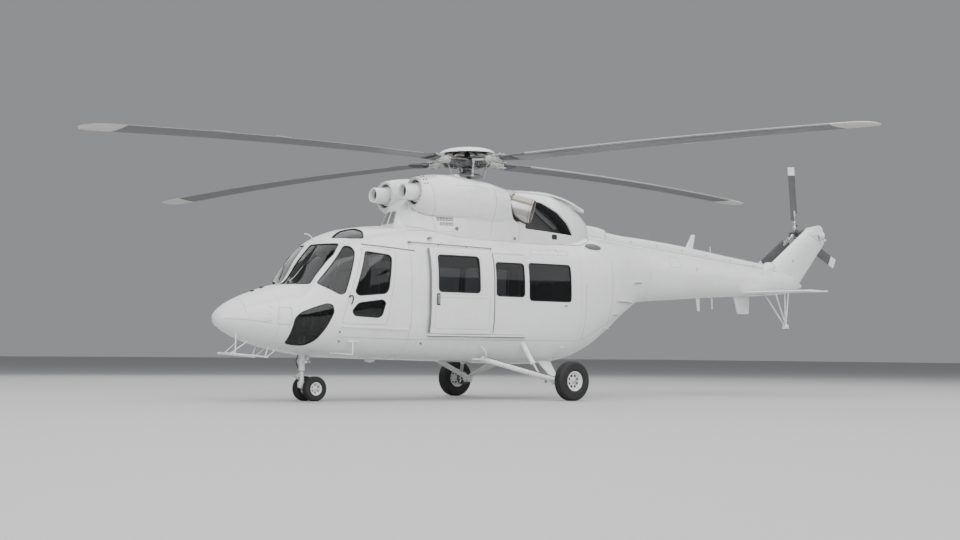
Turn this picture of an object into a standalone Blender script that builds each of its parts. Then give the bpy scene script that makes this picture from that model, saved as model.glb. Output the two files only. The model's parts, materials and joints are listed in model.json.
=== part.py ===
# Medium twin-engined utility helicopter on a wheeled tricycle gear.
# Metres, +Z up, nose towards -X, port side towards -Y, wheels on z = 0.
# X is measured from the main rotor mast; the datum empty then shifts all to the middle of its plan.
import math

import bmesh
import bpy
from mathutils import Matrix, Vector

GAP = 0.0003
SKIN = 0.040
AFT_SKIN = 0.020
BOOM_SKIN = 0.020
SIDES = 28

# Hull stations: x, roof z, keel z, half width, z of the widest line, roof and keel roundness
HULL = (
    (-4.66, 1.236, 1.236, 0.001, 1.236, 2.0, 2.0),
    (-4.62, 1.315, 1.155, 0.100, 1.235, 2.0, 2.0),
    (-4.52, 1.410, 1.075, 0.205, 1.235, 2.0, 2.0),
    (-4.30, 1.535, 0.965, 0.370, 1.240, 2.05, 2.05),
    (-4.00, 1.650, 0.860, 0.530, 1.250, 2.15, 2.15),
    (-3.75, 1.735, 0.800, 0.640, 1.270, 2.2, 2.25),
    (-3.52, 1.790, 0.755, 0.720, 1.300, 2.2, 2.35),
    (-3.25, 2.160, 0.715, 0.785, 1.340, 2.35, 2.5),
    (-3.00, 2.440, 0.690, 0.835, 1.400, 2.35, 2.6),
    (-2.75, 2.575, 0.672, 0.868, 1.480, 2.45, 2.7),
    (-2.45, 2.665, 0.658, 0.890, 1.560, 2.6, 2.8),
    (-2.00, 2.730, 0.645, 0.900, 1.620, 2.8, 2.9),
    (-1.20, 2.770, 0.630, 0.900, 1.650, 3.0, 3.0),
    (-0.20, 2.780, 0.605, 0.900, 1.650, 3.0, 3.0),
    (0.80, 2.780, 0.575, 0.900, 1.650, 3.0, 3.0),
    (1.30, 2.785, 0.585, 0.890, 1.680, 2.9, 2.9),
    (1.80, 2.800, 0.650, 0.860, 1.760, 2.7, 2.7),
    (2.30, 2.840, 0.810, 0.790, 1.880, 2.5, 2.5),
    (2.80, 2.810, 1.080, 0.680, 2.020, 2.3, 2.3),
    (3.30, 2.765, 1.420, 0.540, 2.160, 2.2, 2.2),
    (3.80, 2.722, 1.690, 0.445, 2.230, 2.1, 2.1),
    (4.60, 2.655, 1.755, 0.390, 2.220, 2.0, 2.0),
    (6.00, 2.540, 1.850, 0.315, 2.200, 2.0, 2.0),
    (7.40, 2.420, 1.925, 0.240, 2.175, 2.0, 2.0),
    (7.95, 2.350, 1.985, 0.160, 2.165, 2.0, 2.0),
    (8.32, 2.170, 2.100, 0.035, 2.135, 2.0, 2.0),
)

# Splits between the hull's own panels
NOSE_BACK = -3.86
COCKPIT_BACK = -1.72
CABIN_BACK = 1.78
BOOM_FRONT = 3.80

# Every x at which the hull has a ring, so that neighbours share their facets
RINGS = (
    -4.655, -4.62, -4.54, -4.40, -4.18, NOSE_BACK, -3.52, -3.25, -3.00, -2.75, -2.45,
    -2.10, COCKPIT_BACK, -1.20, 0.80, 1.30, CABIN_BACK, 2.15, 2.50, 2.85, 3.20,
    BOOM_FRONT, 4.60, 6.00, 7.40, 7.95, 8.32,
)

# Main rotor
HUB_Z = 3.93
SHAFT_TILT = math.radians(0.94)
ROTOR_RADIUS = 7.57
BLADE_ROOT = 0.72
# How far each parked blade's tip hangs below its root
BLADE_DROOP = (0.20, 0.13, 0.27, 0.26)
FIRST_BLADE = math.radians(10.6)
MAST_R = 0.07
GEARBOX_TOP = 3.30
BLADE_LAG = (0.55, -2.9, -4.8, 3.25)

# Tail rotor
TAIL_HUB = Vector((8.82, 0.56, 3.25))
TAIL_RADIUS = 1.36
TAIL_FIRST = math.radians(5.0)

# Landing gear
NOSE_PIVOT_X = -3.13
NOSE_AXLE_X = -2.99
NOSE_TYRE_R = 0.19
NOSE_WHEEL_Y = 0.15
AXLE_R = 0.025
MAIN_AXLE_X = 0.949
MAIN_TYRE_R = 0.316
MAIN_WHEEL_Y = 1.577
STUB_R = 0.035

# Cabin doors
DOOR_FRONT = -1.38
DOOR_REAR = -0.15
DOOR_LOW = 1.05
RAIL_FRONT = -1.66
RAIL_REAR = 0.56
RAIL_HEIGHT = 0.02
DOOR_TOP = 2.40
DOOR_STAND_OFF = 0.016
DOOR_THICK = 0.030
DOOR_WIDEST_X = 0.80
DOOR_STEPS = 8

FLOOR_TOP = 1.07
# Height of the load plate between the seat rows
CARGO_PLATE = 0.006

# Window and door outlines on the sides, as x and z
QUARTER = ((-2.78, 2.37), (-2.68, 2.36), (-2.65, 2.27), (-2.89, 1.63), (-2.97, 1.60), (-3.31, 1.77))
CHIN = (
    (-3.66, 0.88), (-3.69, 1.05), (-3.66, 1.25), (-3.57, 1.34), (-3.37, 1.42), (-3.18, 1.48),
    (-3.09, 1.46), (-3.06, 1.35), (-3.17, 1.12), (-3.29, 0.92), (-3.40, 0.84), (-3.54, 0.84),
)
CREW_DOOR = ((-2.95, 1.17), (-2.85, 1.55), (-2.52, 2.36), (-1.97, 2.32), (-2.16, 1.17))
CREW_WINDOW_HIGH = (
    (-2.71, 1.65), (-2.66, 1.60), (-2.20, 1.65), (-2.14, 1.71), (-2.06, 2.20), (-2.10, 2.25), (-2.47, 2.28),
)
CREW_WINDOW_LOW = (
    (-2.79, 1.37), (-2.74, 1.29), (-2.32, 1.27), (-2.25, 1.31), (-2.19, 1.51), (-2.25, 1.56), (-2.68, 1.50),
)
DOOR_WINDOW = (-1.18, -0.43, 1.73, 2.26)
CABIN_WINDOWS = ((-0.04, 0.50, 1.69, 2.20), (0.66, 1.50, 1.65, 2.20))
WINDOW_CORNER = 0.07
# Windshield pane, as y and z, and roof window, as x and y
WINDSHIELD = ((0.055, 1.83), (0.085, 2.37), (0.48, 2.38), (0.57, 2.20), (0.585, 1.80))
ROOF_WINDOW = ((-2.83, 0.33), (-2.60, 0.20), (-2.38, 0.22), (-2.36, 0.45), (-2.44, 0.60), (-2.62, 0.52))


# Scene, materials and the datum that carries every piece
def clear_scene():
    for obj in list(bpy.data.objects):
        bpy.data.objects.remove(obj, do_unlink=True)


def material(name, colour, roughness, metallic=0.0):
    mat = bpy.data.materials.new(name)
    mat.use_nodes = True
    shader = mat.node_tree.nodes["Principled BSDF"]
    shader.inputs["Base Color"].default_value = (*colour, 1.0)
    shader.inputs["Roughness"].default_value = roughness
    shader.inputs["Metallic"].default_value = metallic
    return mat


clear_scene()
WHITE = material("white_paint", (0.80, 0.81, 0.81), 0.25)
GLASS = material("tinted_glass", (0.03, 0.035, 0.04), 0.05)
RUBBER = material("black_rubber", (0.02, 0.02, 0.02), 0.8)
STEEL = material("bare_steel", (0.55, 0.54, 0.52), 0.35, 1.0)
DARK = material("dark_grey_paint", (0.09, 0.09, 0.10), 0.5)
BLADE = material("blade_grey", (0.12, 0.12, 0.13), 0.45)
TRIM = material("cabin_trim", (0.25, 0.25, 0.26), 0.8)
LIGHT_METAL = material("light_metal", (0.62, 0.62, 0.60), 0.4, 0.8)


def blade_angle(index):
    return FIRST_BLADE + index * math.pi / 2 + math.radians(BLADE_LAG[index])


def tail_angle(index):
    return TAIL_FIRST - index * 2 * math.pi / 3


def plan_middle():
    tips_x = [-ROTOR_RADIUS * math.cos(blade_angle(k)) for k in range(4)]
    tips_y = [-ROTOR_RADIUS * math.sin(blade_angle(k)) for k in range(4)]
    aft = max(TAIL_HUB.x - TAIL_RADIUS * math.sin(tail_angle(k)) for k in range(3))
    return (min(tips_x) + aft) / 2, (min(tips_y) + max(tips_y)) / 2


DATUM_X, DATUM_Y = plan_middle()


def empty(name, place, parent=None, turn=(0.0, 0.0, 0.0)):
    obj = bpy.data.objects.new(name, None)
    obj.location = place
    obj.rotation_euler = turn
    obj.parent = parent
    bpy.context.collection.objects.link(obj)
    return obj


AIRFRAME = empty("airframe_datum", (-DATUM_X, -DATUM_Y, 0.0))


# Mesh helpers
def add_object(name, bm, mat, smooth=40.0, parent=AIRFRAME):
    bmesh.ops.recalc_face_normals(bm, faces=bm.faces)
    mesh = bpy.data.meshes.new(name)
    bm.to_mesh(mesh)
    bm.free()
    if smooth:
        mesh.shade_smooth()
        mesh.set_sharp_from_angle(angle=math.radians(smooth))
    obj = bpy.data.objects.new(name, mesh)
    obj.parent = parent
    bpy.context.collection.objects.link(obj)
    if mat is not None:
        mesh.materials.append(mat)
    return obj


def as_cutter(obj):
    obj.hide_render = True
    obj.display_type = "WIRE"
    return obj


def boolean(obj, other, operation):
    step = obj.modifiers.new(operation.lower(), "BOOLEAN")
    step.operation = operation
    step.object = as_cutter(other)
    step.solver = "EXACT"
    return obj


def cut(obj, *cutters):
    for other in cutters:
        boolean(obj, other, "DIFFERENCE")
    return obj


def join(obj, *others):
    for other in others:
        boolean(obj, other, "UNION")
    return obj


def keep(obj, other):
    return boolean(obj, other, "INTERSECT")


def loft(name, rings, mat=None, smooth=40.0, parent=AIRFRAME):
    bm = bmesh.new()
    loops = [[bm.verts.new(p) for p in ring] for ring in rings]
    count = len(loops[0])
    for low, high in zip(loops, loops[1:]):
        # Triangles with one fixed diagonal keep a cutter's facets parallel to its neighbour's
        for k in range(count):
            after = (k + 1) % count
            bm.faces.new((low[k], low[after], high[after]))
            bm.faces.new((low[k], high[after], high[k]))
    bm.faces.new(loops[0][::-1])
    bm.faces.new(loops[-1])
    return add_object(name, bm, mat, smooth, parent)


def prism(name, outline, low, high, axis="Y", mat=None, parent=AIRFRAME):
    place = {
        "X": lambda a, b, t: (t, a, b),
        "Y": lambda a, b, t: (a, t, b),
        "Z": lambda a, b, t: (a, b, t),
    }[axis]
    rings = [[place(a, b, t) for a, b in outline] for t in (low, high)]
    return loft(name, rings, mat, 30.0, parent)


def box(name, low, high, mat=None, parent=AIRFRAME):
    outline = ((low[0], low[1]), (high[0], low[1]), (high[0], high[1]), (low[0], high[1]))
    return prism(name, outline, low[2], high[2], "Z", mat, parent)


def rod(name, start, end, radius, mat=None, sides=12, end_radius=None, parent=AIRFRAME):
    start, end = Vector(start), Vector(end)
    axis = (end - start).normalized()
    side = axis.orthogonal().normalized()
    up = axis.cross(side)
    rings = []
    for centre, r in ((start, radius), (end, radius if end_radius is None else end_radius)):
        turns = [2 * math.pi * k / sides for k in range(sides)]
        rings.append([centre + r * (math.cos(t) * side + math.sin(t) * up) for t in turns])
    return loft(name, rings, mat, 40.0, parent)


def turned(name, profile, centre, mat=None, sides=28, parent=AIRFRAME):
    # Profile points are (distance along Y, radius); a radius of 0 closes on the axis
    bm = bmesh.new()
    loops = []
    for y, r in profile:
        if r == 0.0:
            loops.append([bm.verts.new((centre[0], centre[1] + y, centre[2]))])
            continue
        turns = [2 * math.pi * k / sides for k in range(sides)]
        ring = [(centre[0] + r * math.cos(t), centre[1] + y, centre[2] + r * math.sin(t)) for t in turns]
        loops.append([bm.verts.new(p) for p in ring])
    closed = profile[0][1] != 0.0
    pairs = list(zip(loops, loops[1:])) + ([(loops[-1], loops[0])] if closed else [])
    for low, high in pairs:
        for k in range(sides):
            corners = [low[k % len(low)], low[(k + 1) % len(low)]]
            corners += [high[(k + 1) % len(high)], high[k % len(high)]]
            bm.faces.new(list(dict.fromkeys(corners)))
    return add_object(name, bm, mat, 35.0, parent)


def scaled(outline, factor):
    mid_a = sum(a for a, b in outline) / len(outline)
    mid_b = sum(b for a, b in outline) / len(outline)
    return [(mid_a + (a - mid_a) * factor, mid_b + (b - mid_b) * factor) for a, b in outline]


def rounded_box(left, right, low, high, radius, steps=3):
    points = []
    corners = ((right, high, 0), (left, high, 1), (left, low, 2), (right, low, 3))
    for a, b, quarter in corners:
        mid_a = a - math.copysign(radius, a - (left + right) / 2)
        mid_b = b - math.copysign(radius, b - (low + high) / 2)
        for k in range(steps + 1):
            turn = (quarter + k / steps) * math.pi / 2
            points.append((mid_a + radius * math.cos(turn), mid_b + radius * math.sin(turn)))
    return points


# Hull surface
def table_value(table, x, column):
    """Monotone cubic through the column's values (Fritsch and Carlson)."""
    xs = [row[0] for row in table]
    ys = [row[column] for row in table]
    x = min(max(x, xs[0]), xs[-1])
    slopes = [(ys[i + 1] - ys[i]) / (xs[i + 1] - xs[i]) for i in range(len(xs) - 1)]
    tangents = [slopes[0]]
    for i in range(1, len(slopes)):
        a, b = slopes[i - 1], slopes[i]
        h0, h1 = xs[i] - xs[i - 1], xs[i + 1] - xs[i]
        flat = a * b <= 0
        tangents.append(0.0 if flat else 3 * (h0 + h1) / ((2 * h1 + h0) / a + (h1 + 2 * h0) / b))
    tangents.append(slopes[-1])
    i = next(k for k in range(len(slopes)) if x <= xs[k + 1])
    h = xs[i + 1] - xs[i]
    t = (x - xs[i]) / h
    start = (1 + 2 * t) * (1 - t) ** 2 * ys[i] + t * (1 - t) ** 2 * h * tangents[i]
    return start + t * t * (3 - 2 * t) * ys[i + 1] + t * t * (t - 1) * h * tangents[i + 1]


def oval(x, top, bottom, half, middle, round_top, round_low, centre_y=0.0, sides=SIDES):
    ring = []
    for k in range(sides):
        t = 2 * math.pi * k / sides
        c, s = math.cos(t), math.sin(t)
        power = 2.0 / (round_top if s >= 0 else round_low)
        height = (top - middle) if s >= 0 else (middle - bottom)
        y = centre_y + half * math.copysign(abs(c) ** power, c)
        z = middle + height * math.copysign(abs(s) ** power, s)
        ring.append((x, y, z))
    return ring


def hull_ring(x, inset=0.0):
    top, bottom, half, middle, round_top, round_low = [table_value(HULL, x, c) for c in range(1, 7)]
    return oval(x, top - inset, bottom + inset, half - inset, middle, round_top, round_low)


def hull_side(x, z, outset=0.0):
    top, bottom, half, middle, round_top, round_low = [table_value(HULL, x, c) for c in range(1, 7)]
    above = z >= middle
    reach = (top - middle if above else middle - bottom) + outset
    power = round_top if above else round_low
    return (half + outset) * (1 - (abs(z - middle) / reach) ** power) ** (1 / power)


def hull(name, start, end, inset=0.0, mat=None):
    inner = [x for x in RINGS if start < x < end]
    return loft(name, [hull_ring(x, inset) for x in [start, *inner, end]], mat)


def hull_shell(name, start, end, thickness, outset=0.0):
    shell = hull(name, start, end, -outset, WHITE)
    return cut(shell, hull(name + "_inside", start - 0.01, end + 0.01, thickness))


# Nose, cockpit, cabin and tail
def side_cut(name, outline, reach=1.2):
    return prism(name, outline, -reach, reach)


def build_nose():
    stations = [x for x in RINGS if x < NOSE_BACK] + [NOSE_BACK - GAP]
    loft("nose_cone", [hull_ring(x) for x in stations], WHITE)


def build_cockpit():
    shell = hull_shell("cockpit_shell", NOSE_BACK, COCKPIT_BACK - GAP, SKIN)
    cut(shell, side_cut("quarter_cut", QUARTER), side_cut("chin_cut", CHIN))
    cut(shell, side_cut("crew_door_cut", scaled(CREW_DOOR, 1.001)))
    for side in (-1, 1):
        pane = [(side * y, z) for y, z in WINDSHIELD]
        cut(shell, prism("windshield_cut", pane, -3.95, -2.55, "X"))
        roof = [(x, side * y) for x, y in ROOF_WINDOW]
        cut(shell, prism("roof_window_cut", roof, 2.35, 2.9, "Z"))


def build_crew_door(side, word):
    door = hull_shell("crew_door_" + word, -3.25, COCKPIT_BACK, SKIN)
    keep(door, prism("crew_door_outline", CREW_DOOR, side * 1.2, side * 0.3))
    cut(door, side_cut("crew_window_high_cut", CREW_WINDOW_HIGH))
    cut(door, side_cut("crew_window_low_cut", CREW_WINDOW_LOW))


def build_glazing():
    liner = hull("cockpit_glazing", -3.52, COCKPIT_BACK - 2 * GAP, SKIN + GAP, GLASS)
    cut(liner, hull("glazing_inside", -3.53, COCKPIT_BACK + 0.01, SKIN + 0.008))
    reach = ((-3.7, 1.55), (-2.90, 1.55), (-2.90, 1.22), (-2.0, 1.22), (-2.0, 2.8), (-3.7, 2.8))
    keep(liner, side_cut("glazing_reach", reach))
    for side, word in ((-1, "left"), (1, "right")):
        pane = hull("chin_window_" + word, NOSE_BACK, -2.75, SKIN + GAP, GLASS)
        cut(pane, hull("chin_inside", NOSE_BACK - 0.01, -2.74, SKIN + 0.008))
        keep(pane, prism("chin_reach", scaled(CHIN, 1.10), side * 1.2, side * 0.25))
        strip = hull("cabin_windows_" + word, -1.20, CABIN_BACK - 2 * GAP, SKIN + GAP, GLASS)
        cut(strip, hull("strip_inside", -1.21, CABIN_BACK + 0.01, SKIN + 0.008))
        reach = rounded_box(-0.12, 1.58, 1.59, 2.27, 0.06, 1)
        keep(strip, prism("strip_reach", reach, side * 1.2, side * 0.5))


def door_section(stand_off):
    levels = [DOOR_LOW + (DOOR_TOP - DOOR_LOW) * k / DOOR_STEPS for k in range(DOOR_STEPS + 1)]
    return [(hull_side(DOOR_WIDEST_X, z, stand_off), z) for z in levels]


def door_inner_y(z):
    section = door_section(DOOR_STAND_OFF)
    for (y0, z0), (y1, z1) in zip(section, section[1:]):
        if z <= z1:
            return y0 + (y1 - y0) * (z - z0) / (z1 - z0)
    return section[-1][0]


def build_cabin():
    shell = hull_shell("cabin_shell", COCKPIT_BACK, CABIN_BACK - GAP, SKIN)
    opening = rounded_box(DOOR_FRONT + 0.05, DOOR_REAR - 0.05, DOOR_LOW + 0.05, DOOR_TOP - 0.06, 0.05)
    cut(shell, side_cut("door_cut", opening))
    for left, right, low, high in CABIN_WINDOWS:
        cut(shell, side_cut("window_cut", rounded_box(left, right, low, high, WINDOW_CORNER)))
    for side in (-1, 1):
        for low in (DOOR_TOP - 0.045, DOOR_LOW + 0.01):
            high = low + RAIL_HEIGHT
            outer = min(door_inner_y(low), door_inner_y(high)) - GAP
            ys = sorted((side * outer, side * (outer - 0.045)))
            join(shell, box("door_rail", (RAIL_FRONT, ys[0], low), (RAIL_REAR, ys[1], high)))


def build_cabin_door(side, word):
    inner = door_section(DOOR_STAND_OFF)
    outer = door_section(DOOR_STAND_OFF + DOOR_THICK)
    outline = [(side * y, z) for y, z in inner + outer[::-1]]
    door = prism("cabin_door_" + word, outline, DOOR_FRONT, DOOR_REAR, "X", WHITE)
    window = rounded_box(*DOOR_WINDOW, WINDOW_CORNER)
    cut(door, side_cut("door_window_cut", window))
    inner = door_section(DOOR_STAND_OFF + 0.010)
    outer = door_section(DOOR_STAND_OFF + 0.016)
    outline = [(side * y, z) for y, z in inner + outer[::-1]]
    pane = prism("cabin_door_glass_" + word, outline, DOOR_FRONT, DOOR_REAR, "X", GLASS)
    keep(pane, side_cut("door_pane_reach", scaled(window, 0.999)))


def build_inside():
    floor = hull("cabin_floor", -3.25, CABIN_BACK - 2 * GAP, SKIN + GAP, DARK)
    plan = (
        (-3.28, -0.34), (-2.96, -0.34), (-2.96, -0.9), (2.0, -0.9), (2.0, 0.9), (-2.96, 0.9), (-2.96, 0.34),
        (-3.28, 0.34),
    )
    keep(floor, prism("floor_plan", plan, FLOOR_TOP - 0.05, FLOOR_TOP, "Z"))
    join(floor, box("cargo_plate", (-0.60, -0.40, FLOOR_TOP - 0.02), (0.60, 0.40, FLOOR_TOP + CARGO_PLATE)))
    deck = FLOOR_TOP + GAP
    panel = ((-3.24, deck), (-2.98, deck), (-2.98, 1.45), (-3.02, 1.74), (-3.14, 1.78), (-3.24, 1.70))
    prism("instrument_panel", panel, -0.33, 0.33, "Y", DARK)
    seat = (
        (-2.58, deck), (-2.10, deck), (-2.08, 1.40), (-1.98, 2.05), (-2.08, 2.07), (-2.20, 1.52),
        (-2.62, 1.50), (-2.64, 1.38), (-2.56, 1.34),
    )
    for side, word in ((-1, "left"), (1, "right")):
        prism("crew_seat_" + word, seat, side * 0.42 - 0.23, side * 0.42 + 0.23, "Y", TRIM)
    front = ((-1.66, deck), (-1.24, deck), (-1.18, 1.48), (-1.56, 1.50), (-1.62, 1.98), (-1.70, 1.98))
    prism("cabin_seats_front", front, -0.68, 0.68, "Y", TRIM)
    back = ((1.30, deck), (1.74, deck), (1.74, 2.02), (1.64, 2.02), (1.58, 1.52), (1.18, 1.50), (1.16, 1.44))
    prism("cabin_seats_rear", back, -0.66, 0.66, "Y", TRIM)


def hull_offset(name, start, end):
    return hull(name, start, end, -GAP)


def stabiliser_solid(name, growth, mat=None):
    half = []
    for y in (0.30, 1.0, 1.66, 1.725):
        front = 6.40 if y <= 0.30 else 6.40 + 0.10 * (y - 0.30) / 1.36
        trim = 0.07 if y > 1.70 else 0.0
        half.append((y, front + trim, 7.14 - trim, 0.036 - 0.014 * y / 1.725 - trim * 0.2))
    stations = [(-y, a, b, t) for y, a, b, t in half[::-1]] + half
    rings = []
    for y, front, back, thick in stations:
        front, back, thick = front - growth, back + growth, thick + growth
        chord = back - front
        shape = ((0.0, 0.0), (0.08, 0.75), (0.3, 1.0), (0.6, 0.8), (1.0, 0.12))
        upper = [(front + u * chord, y, 1.945 + v * thick) for u, v in shape]
        lower = [(front + u * chord, y, 1.945 - v * thick) for u, v in shape[:0:-1]]
        rings.append(upper + lower)
    return loft(name, rings, mat, 30.0)


def build_tail():
    aft = hull("aft_fuselage", CABIN_BACK, BOOM_FRONT - GAP, 0.0, WHITE)
    cut(aft, hull("aft_inside", 1.80, BOOM_FRONT + 0.01, AFT_SKIN))
    boom = hull("tail_boom", BOOM_FRONT, RINGS[-1], 0.0, WHITE)
    cut(boom, hull("boom_inside", BOOM_FRONT - 0.01, 8.05, BOOM_SKIN))
    cut(boom, stabiliser_solid("stabiliser_slot", GAP))
    stabiliser_solid("stabiliser", 0.0, WHITE)

    cover_line = (
        (2.4503, 3.03, 0.20), (2.93, 2.965, 0.19), (2.98, 2.935, 0.13), (4.06, 2.84, 0.12),
        (4.79, 2.784, 0.11), (6.03, 2.652, 0.10), (7.20, 2.530, 0.08),
    )
    rings = [oval(x, top, 2.0, half, top - 0.10, 3.0, 6.0, sides=16) for x, top, half in cover_line]
    cover = loft("shaft_cover", rings, WHITE)
    cut(cover, hull_offset("cover_seat", CABIN_BACK, RINGS[-1]))

    leading = (Vector((7.33, 0.0, 2.42)), Vector((8.50, 0.0, 3.27)))
    trailing = (Vector((8.22, 0.0, 2.13)), Vector((9.05, 0.0, 3.03)))
    shape = ((0.0, 0.0), (0.06, 0.55), (0.25, 1.0), (0.6, 0.8), (1.0, 0.10))
    rings = []
    for s, thick, shrink in ((0.0, 0.10, 0.0), (0.5, 0.085, 0.0), (0.97, 0.075, 0.0), (1.02, 0.045, 0.10)):
        front, back = leading[0].lerp(leading[1], s), trailing[0].lerp(trailing[1], s)
        front, back = front.lerp(back, shrink), back.lerp(front, shrink)
        upper = [front.lerp(back, u) + Vector((0, v * thick, 0)) for u, v in shape]
        lower = [front.lerp(back, u) - Vector((0, v * thick, 0)) for u, v in shape[:0:-1]]
        rings.append(upper + lower)
    fin = loft("fin", rings, WHITE)

    def off_hub(distance):
        return TAIL_HUB - Vector((0, distance, 0))

    gearbox = rod("tail_gearbox", off_hub(0.62), off_hub(0.30), 0.13, None, 12, 0.10)
    shaft = rod("tail_shaft", off_hub(0.50), off_hub(0.10), 0.05, None, 12)
    fairing = rod("gearbox_fairing", (8.66, 0, 3.21), (8.99, 0, 3.19), 0.10, None, 12, 0.08)
    join(fin, fairing, gearbox, shaft)
    cut(fin, hull_offset("fin_seat", 6.00, RINGS[-1]))

    plate = ((6.371, 1.95), (6.82, 1.95), (6.81, 1.55), (6.51, 1.54))
    ventral = prism("ventral_fin", plate, -0.025, 0.025, "Y", WHITE)
    cut(ventral, hull_offset("ventral_seat", 4.60, RINGS[-1]), stabiliser_solid("ventral_slot", GAP))

    foot = Vector((7.88, 0.0, 1.33))
    skid = turned("tail_skid", ((-0.05, 0.0), (-0.05, 0.04), (0.05, 0.04), (0.05, 0.0)), foot, WHITE, 12)
    for x, y in ((7.33, 0.17), (7.33, -0.17), (7.92, 0.05), (7.92, -0.05)):
        join(skid, rod("skid_leg", foot, (x, y, 2.10), 0.016, None, 8))
    cut(skid, hull_offset("skid_seat", 6.0, RINGS[-1]))


# Engine deck
NACELLE_Y = 0.42
# x, half width, top and bottom above and below the engine line
NACELLE = (
    (-1.37, 0.235, 0.235, 0.250), (-1.20, 0.285, 0.285, 0.340), (-0.95, 0.335, 0.340, 0.420),
    (-0.60, 0.365, 0.370, 0.440), (0.00, 0.365, 0.365, 0.440), (0.30, 0.335, 0.335, 0.40),
    (0.55, 0.30, 0.30, 0.36),
)
# x, half width, top
DECK = (
    (-1.52, 0.20, 2.98), (-1.35, 0.36, 3.06), (-1.05, 0.56, 3.24), (-0.60, 0.68, 3.42), (-0.10, 0.70, 3.50),
    (0.55, 0.70, 3.44),
)
COWL_SPLIT = 0.55
COWL_THICK = 0.03


def engine_line(x):
    return 3.30 - 0.0865 * (x + 1.35)


def nacelle(name, side, inset, mat=None):
    rings = []
    for x, half, up, down in NACELLE:
        if inset > 0 and x == NACELLE[-1][0]:
            x += 0.05
        if inset > 0 and x == NACELLE[0][0]:
            x += COWL_THICK
        mid = engine_line(x)
        top, bottom = mid + up - inset, mid - down + inset
        rings.append(oval(x, top, bottom, half - inset, mid, 2.0, 2.2, side * NACELLE_Y, 20))
    return loft(name, rings, mat)


def deck(name, inset, mat=None):
    rings = []
    for x, half, top in DECK:
        if inset > 0 and x == DECK[-1][0]:
            x += 0.05
        if inset > 0 and x == DECK[0][0]:
            x += COWL_THICK
        rings.append(oval(x, top - inset, 2.45 - inset, half - inset, 2.85, 3.0, 6.0, 0.0, 20))
    return loft(name, rings, mat)


EXHAUST_END = Vector((0.744, -0.80, 3.086))
EXHAUST_AXIS = Vector((0.24, -0.25, -0.03)).normalized()
EXHAUST_R = 0.205
INTAKE_X = -1.40


def intake(turn, ahead, behind, front_r, back_r, name):
    y, z = turn * NACELLE_Y, engine_line(INTAKE_X) - 0.01
    return rod(name, (INTAKE_X - ahead, y, z), (INTAKE_X + behind, y, z), front_r, None, 16, back_r)


def exhaust_line(side, start, end, radius, name, mat=None, sides=20):
    ends = []
    for distance in (start, end):
        point = EXHAUST_END + EXHAUST_AXIS * distance
        ends.append((point.x, -side * point.y, point.z))
    return rod(name, *ends, radius, mat, sides)


def build_engine_cowls():
    for side, word in ((-1, "left"), (1, "right")):
        cowl = deck("engine_cowl_" + word, 0.0, WHITE)
        join(cowl, nacelle("nacelle_left", -1, 0.0), nacelle("nacelle_right", 1, 0.0))
        inside = deck("deck_inside", COWL_THICK)
        for turn in (-1, 1):
            join(cowl, intake(turn, 0.20, 0.15, 0.125, 0.165, "intake_pipe"))
            join(inside, nacelle("nacelle_inside", turn, COWL_THICK))
        for turn in (-1, 1):
            join(inside, intake(turn, 0.25, 0.20, 0.095, 0.135, "intake_bore"))
            join(inside, exhaust_line(turn, -0.50, 0.2, EXHAUST_R + GAP, "exhaust_hole"))
        cut(cowl, inside)
        cut(cowl, hull_offset("cowl_seat", -3.86, 2.85))
        cut(cowl, rod("mast_hole", (0, 0, 3.2), (0, 0, 4.0), 0.11, None, 20))
        half = sorted((side * GAP / 2, side * 1.5))
        keep(cowl, box("cowl_half", (-2.5, half[0], 2.0), (COWL_SPLIT - GAP, half[1], 4.0)))

    ramp_low = [(-1.66, -0.24, 2.60), (-1.66, 0.24, 2.60), (-1.30, 0.40, 2.60), (-1.30, -0.40, 2.60)]
    ramp_high = [(-1.50, -0.17, 3.03), (-1.50, 0.17, 3.03), (-1.30, 0.15, 3.20), (-1.30, -0.15, 3.20)]
    ramp = loft("front_fairing", [ramp_low, ramp_high], WHITE, 30.0)
    cut(ramp, hull_offset("ramp_seat", -3.86, 2.85), deck("ramp_back", -GAP))
    cut(ramp, nacelle("ramp_left", -1, -GAP), nacelle("ramp_right", 1, -GAP))


AFT_COWL = (
    (COWL_SPLIT, 0.71, 3.46), (0.95, 0.71, 3.51), (1.38, 0.68, 3.50), (1.80, 0.60, 3.40),
    (2.10, 0.50, 3.27), (2.30, 0.40, 3.15), (2.45, 0.28, 3.03),
)
BAY = ((0.80, 2.84), (0.90, 3.30), (1.10, 3.28), (1.40, 3.13), (1.62, 2.95), (1.76, 2.79))


def build_aft_cowl():
    rings = [oval(x, top, 2.45, half, 2.80, 2.5, 6.0, 0.0, 28) for x, half, top in AFT_COWL]
    cowl = loft("aft_cowl", rings, WHITE)
    for side in (-1, 1):
        cut(cowl, prism("exhaust_bay", BAY, side * 1.2, side * 0.34))
    # Hollow between the two exhaust bays: x, half width, top
    hollow = ((COWL_SPLIT + 0.04, 0.30, 3.38), (1.40, 0.30, 3.40), (1.95, 0.26, 3.20))
    rings = [oval(x, top, 2.50, half, 2.90, 6.0, 6.0, 0.0, 16) for x, half, top in hollow]
    cut(cowl, loft("cowl_hollow", rings))
    # x, half width, top, depth
    scoop = (
        (1.05, 0.30, 3.52, 0.10), (1.45, 0.27, 3.525, 0.09), (1.90, 0.20, 3.48, 0.07),
        (2.30, 0.10, 3.39, 0.05), (2.56, 0.015, 3.30, 0.02),
    )
    rings = []
    for x, half, top, deep in scoop:
        rings.append(oval(x, top, top - deep, half, top - deep * 0.6, 2.0, 2.0, 0.0, 12))
    join(cowl, loft("dorsal_scoop", rings))
    cut(cowl, hull_offset("aft_cowl_seat", -1.20, 3.20))
    for turn in (-1, 1):
        cut(cowl, exhaust_line(turn, -0.60, 0.6, EXHAUST_R + 0.02, "exhaust_relief"))


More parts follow.
